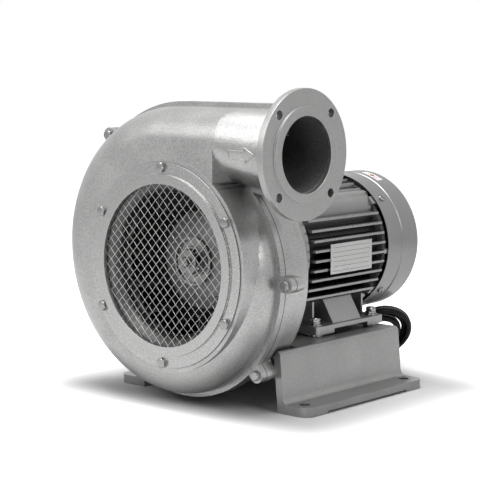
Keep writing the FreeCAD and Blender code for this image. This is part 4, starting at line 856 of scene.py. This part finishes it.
# Rating plate. A bare brushed aluminium plate with plain ruled lines, on two rivets over
# the side fins.
plate_metal = grained("bare_plate", (0.40, 0.40, 0.397), (0.50, 0.50, 0.496), (0.26, 0.32), 1500.0, 0.05,
                      0.9)
rating_plate = soft_edged("rating_plate", "casing", "rating_plate", plate_metal, 0.0002)
plate_low = min(corner.co.z for corner in rating_plate.data.vertices)
plate_high = max(corner.co.z for corner in rating_plate.data.vertices)
plate_front = min(corner.co.y for corner in rating_plate.data.vertices)
plate_back = max(corner.co.y for corner in rating_plate.data.vertices)
plate_face = max(corner.co.x for corner in rating_plate.data.vertices)
rule_count = 6
rule_width = 0.0004
rule_proud = 0.0001
rule_margin = 0.004
rule_first = 0.6
rule_last = 0.8
rule_gap = (plate_high - plate_low) / (rule_first + rule_count - 1 + rule_last)
print_grey = grained("printed_rule", (0.05, 0.05, 0.05), (0.08, 0.08, 0.08), (0.40, 0.46), 1500.0, 0.02,
                     0.3)
for number in range(rule_count):
    height = plate_low + rule_gap * (rule_first + number)
    bpy.ops.object.select_all(action="DESELECT")
    bpy.ops.mesh.primitive_cube_add(size=1.0, location=(plate_face, (plate_front + plate_back) / 2, height))
    rule = bpy.context.object
    rule.name = "plate_rule_" + str(number + 1)
    rule.scale = (rule_proud, plate_back - plate_front - 2 * rule_margin, rule_width)
    bpy.ops.object.transform_apply(location=True, rotation=True, scale=True)
    fit(rule, "casing", "rating_plate", print_grey)


def domed_rivet(name, radius, height, reach):
    """A rivet head drawn up from a disc, with its shank, seat at the origin, facing +Z."""
    rivet = cylinder(name, 24, radius, reach, (0, 0, -reach / 2))
    bpy.ops.object.mode_set(mode="EDIT")
    pick_faces(rivet, lambda middle, normal: normal.z > 0.9)
    for size, rise in ((0.97, 0.35), (0.86, 0.35), (0.66, 0.2), (0.35, 0.1)):
        bpy.ops.mesh.extrude_region_move(TRANSFORM_OT_translate={"value": (0, 0, height * rise)})
        bpy.ops.transform.resize(value=(size, size, 1.0))
    bpy.ops.object.mode_set(mode="OBJECT")
    smooth(50.0)
    rivet.select_set(False)
    return rivet


rivet_places = [(0.0806, y, 0.148) for y in (0.010, 0.076)]
rivet_model = domed_rivet("rivet_model", 0.0018, 0.0008, 0.004)
screw_set(rivet_model, "rating_plate_rivets", rivet_places, (1, 0, 0), "casing", "machined_ring",
          plate_metal)
bpy.data.objects.remove(rivet_model)


# Terminal box. A cast box on the motor's far side with a gasketed lid on four screws, a
# moulded gland for the cable and its domed nut.
rubber_shine = 0.12
rubber = grained("black_rubber", (0.004, 0.004, 0.004), (0.008, 0.008, 0.008), (0.28, 0.34), 1500.0, 0.10,
                 0.0)
rubber.node_tree.nodes["Principled BSDF"].inputs["Specular IOR Level"].default_value = rubber_shine
plastic = grained("black_plastic", (0.012, 0.012, 0.012), (0.022, 0.022, 0.022), (0.34, 0.42), 1500.0,
                  0.08, 0.0)
soft_edged("terminal_box", "casing", "motor_casting", motor_metal, 0.0006)
soft_edged("terminal_box_lid", "casing", "motor_casting", motor_metal, 0.0006)
soft_edged("terminal_box_gasket", "casing", "seal_rubber", rubber, 0.0002)
soft_edged("cable_gland", "casing", "black_plastic", plastic, 0.0004)
soft_edged("gland_nut", "casing", "black_plastic", plastic, 0.0004)
lid_places = [(-0.1165, y, z) for y in (0.009, 0.077) for z in (0.119, 0.187)]
lid_screw_model = slotted_head("lid_screw_model", 0.004, 0.0025, 0.009)
screw_set(lid_screw_model, "lid_screws", lid_places, (-1, 0, 0), "casing", "steel_fasteners", zinc_steel,
          (0.4, 1.3, 2.2, 0.9))
bpy.data.objects.remove(lid_screw_model)


# Inner pieces. Sheet steel cores, copper winding, bearings, shaft and seals, hardly seen,
# keep their own shapes and take the finish of their material.
def dress(material, *names):
    """Gives nodes shown as they are a material."""
    for name in names:
        mesh = nodes[name].data
        mesh.materials.clear()
        mesh.materials.append(material)


core_steel = grained("core_steel", (0.12, 0.12, 0.12), (0.20, 0.20, 0.20), (0.45, 0.55), 700.0, 0.2, 0.9)
copper = grained("copper_winding", (0.40, 0.16, 0.06), (0.55, 0.26, 0.10), (0.35, 0.50), 600.0, 0.4, 0.9)
ground_steel = grained("ground_steel", (0.40, 0.40, 0.40), (0.50, 0.50, 0.50), (0.22, 0.30), 1300.0, 0.05,
                       1.0)
dress(core_steel, "stator_core", "rotor_core")
dress(copper, "stator_windings")
dress(ground_steel, "motor_shaft", "shaft_key", "drive_bearing_outer", "rear_bearing_outer",
      "drive_bearing_inner", "rear_bearing_inner", "wave_spring", "fan_circlip")
dress(zinc_steel, "shield_screws")
dress(rubber, "shaft_seal")
dress(plastic, "terminal_block")


# Cooling fan. Moulded black plastic pressed on the shaft's end: a disc that nearly fills the
# cowl, a hub on both its sides and seven straight blades behind it.
fan_front = 0.1325
fan_back = 0.1345
fan_reach = 0.0740
fan_hub = 0.0160
fan_hub_front = 0.0085
fan_hub_back = 0.0065
fan_blades = 7
blade_depth = 0.0120
blade_wall = 0.0024
blade_sunk = 0.0005
blade_inset = 0.0010
cooling_fan = cylinder("moulded_fan", 96, fan_reach, fan_back - fan_front,
                       (0, (fan_front + fan_back) / 2, shaft_height), rotation=(math.pi / 2, 0, 0))
bpy.ops.object.mode_set(mode="EDIT")
for side, length in ((-1, fan_hub_front), (1, fan_hub_back)):
    pick_faces(cooling_fan, lambda middle, normal: normal.y * side > 0.9)
    bpy.ops.mesh.inset(thickness=fan_reach - fan_hub, depth=0.0)
    bpy.ops.mesh.extrude_region_move(TRANSFORM_OT_translate={"value": (0, side * length, 0)})
bpy.ops.object.mode_set(mode="OBJECT")
rounded(cooling_fan, 0.0006, 2, 40.0)
blades = []
for number in range(fan_blades):
    bpy.ops.mesh.primitive_cube_add(size=1.0, location=((fan_hub + fan_reach) / 2 - blade_inset,
                                                        fan_back - blade_sunk + blade_depth / 2, 0))
    blade = bpy.context.object
    blade.scale = (fan_reach - fan_hub, blade_depth, blade_wall)
    bpy.ops.object.transform_apply(location=True, rotation=True, scale=True)
    apply_modifier(blade, "BEVEL", width=0.0005, segments=2)
    spoke = Matrix.Rotation(number * 2 * math.pi / fan_blades, 4, "Y")
    blade.data.transform(Matrix.Translation(cowl_centre) @ spoke)
    blades.append(blade)
joined(cooling_fan, blades)
smooth(35.0)
fit(cooling_fan, "rotor", "black_plastic", plastic, "cooling_fan")


# Cable, plug and tie. About 1.7 m of rubber cable from the gland to the floor, wound in a
# loose leaning coil behind the motor, held by a tie and ended in a moulded plug.
cable_radius = 0.0036
gland_exit_y = 0.111
lead_route = [(-0.098, 0.0, 0.152), (-0.098, 0.020, 0.152), (-0.098, 0.040, 0.134),
              (-0.097, 0.047, 0.104), (-0.094, 0.047, 0.070), (-0.088, 0.045, 0.036),
              (-0.072, 0.044, 0.008), (-0.050, 0.050, 0.0038), (-0.028, 0.062, 0.0038),
              (-0.008, 0.076, 0.007)]
plug_place = Vector((-0.078, 0.214, 0.0175))
plug_route = [(0.0695, -0.0385, 0.0003), (0.0700, -0.0275, -0.0025), (0.0665, -0.0160, -0.0023),
              (0.0585, -0.0065, -0.0012), (0.0475, -0.0010, -0.0003), (0.038, 0.0, 0.0)]
coil_centre = Vector((0.014, 0.183, 0.0370))
coil_across = Vector((-0.559, -0.829, 0.0))
coil_up = Vector((0.476, -0.321, 0.819))
coil_stack = Vector((-0.66, 0.75, 0.0))
coil_radius = 0.0320
coil_turns = 7
turn_points = 16
points_short = 2
turn_lanes = [(0.0065, -0.0075), (-0.0070, -0.0060), (0.0060, 0.0), (-0.0075, 0.0015), (0.0070, 0.0070),
              (-0.0065, 0.0080), (0.0020, 0.0035), (0.0, -0.0015)]

cable_points = [Vector((x, gland_exit_y + y, z)) for x, y, z in lead_route]
entry_angle = math.radians(-97.0)
for step in range(coil_turns * turn_points - points_short):
    turn = step / turn_points
    lane = min(int(turn), len(turn_lanes) - 2)
    share = max(0.0, 2.0 * (turn - lane) - 1.0)
    wide = turn_lanes[lane][0] * (1 - share) + turn_lanes[lane + 1][0] * share
    deep = turn_lanes[lane][1] * (1 - share) + turn_lanes[lane + 1][1] * share
    angle = entry_angle - turn * 2 * math.pi
    radius = coil_radius + wide
    cable_points.append(coil_centre + (coil_across * math.cos(angle) + coil_up * math.sin(angle)) * radius
                        + coil_stack * deep)
cable_points += [plug_place + Vector(step) for step in plug_route]


def nurbs_cord(name, points, radius):
    """A round cord on one smooth NURBS spline."""
    curve = bpy.data.curves.new(name, "CURVE")
    curve.dimensions = "3D"
    curve.bevel_depth = radius
    curve.bevel_resolution = 5
    curve.resolution_u = 6
    curve.use_fill_caps = True
    spline = curve.splines.new("NURBS")
    spline.points.add(len(points) - 1)
    for point, place in zip(spline.points, points):
        point.co = (*place, 1.0)
    spline.order_u = 3
    spline.use_endpoint_u = True
    obj = bpy.data.objects.new(name, curve)
    bpy.context.scene.collection.objects.link(obj)
    return obj


def cord_length(obj):
    """The length of a curve's own line."""
    bare = obj.copy()
    bare.data = obj.data.copy()
    bare.data.bevel_depth = 0.0
    mesh = bpy.data.meshes.new_from_object(bare)
    bpy.data.objects.remove(bare)
    knots = [vertex.co for vertex in mesh.vertices]
    return sum((knots[edge.vertices[0]] - knots[edge.vertices[1]]).length for edge in mesh.edges)


cable = nurbs_cord("mains_cable", cable_points, cable_radius)
cable_length = cord_length(cable)
cable.data.materials.append(rubber)
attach(cable, "casing")
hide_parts("cable_lead", "cable_coil", "plug_lead")
plug_brass = grained("plated_brass", (0.60, 0.56, 0.44), (0.74, 0.70, 0.56), (0.22, 0.30), 1200.0, 0.05,
                     1.0)
plug = soft_edged("plug_body", "casing", "seal_rubber", rubber, 0.0008)
pins = soft_edged("plug_pins", "casing", "pin_metal", plug_brass, 0.0012)
tie = soft_edged("cable_tie", "casing", "black_plastic", plastic, 0.0002)
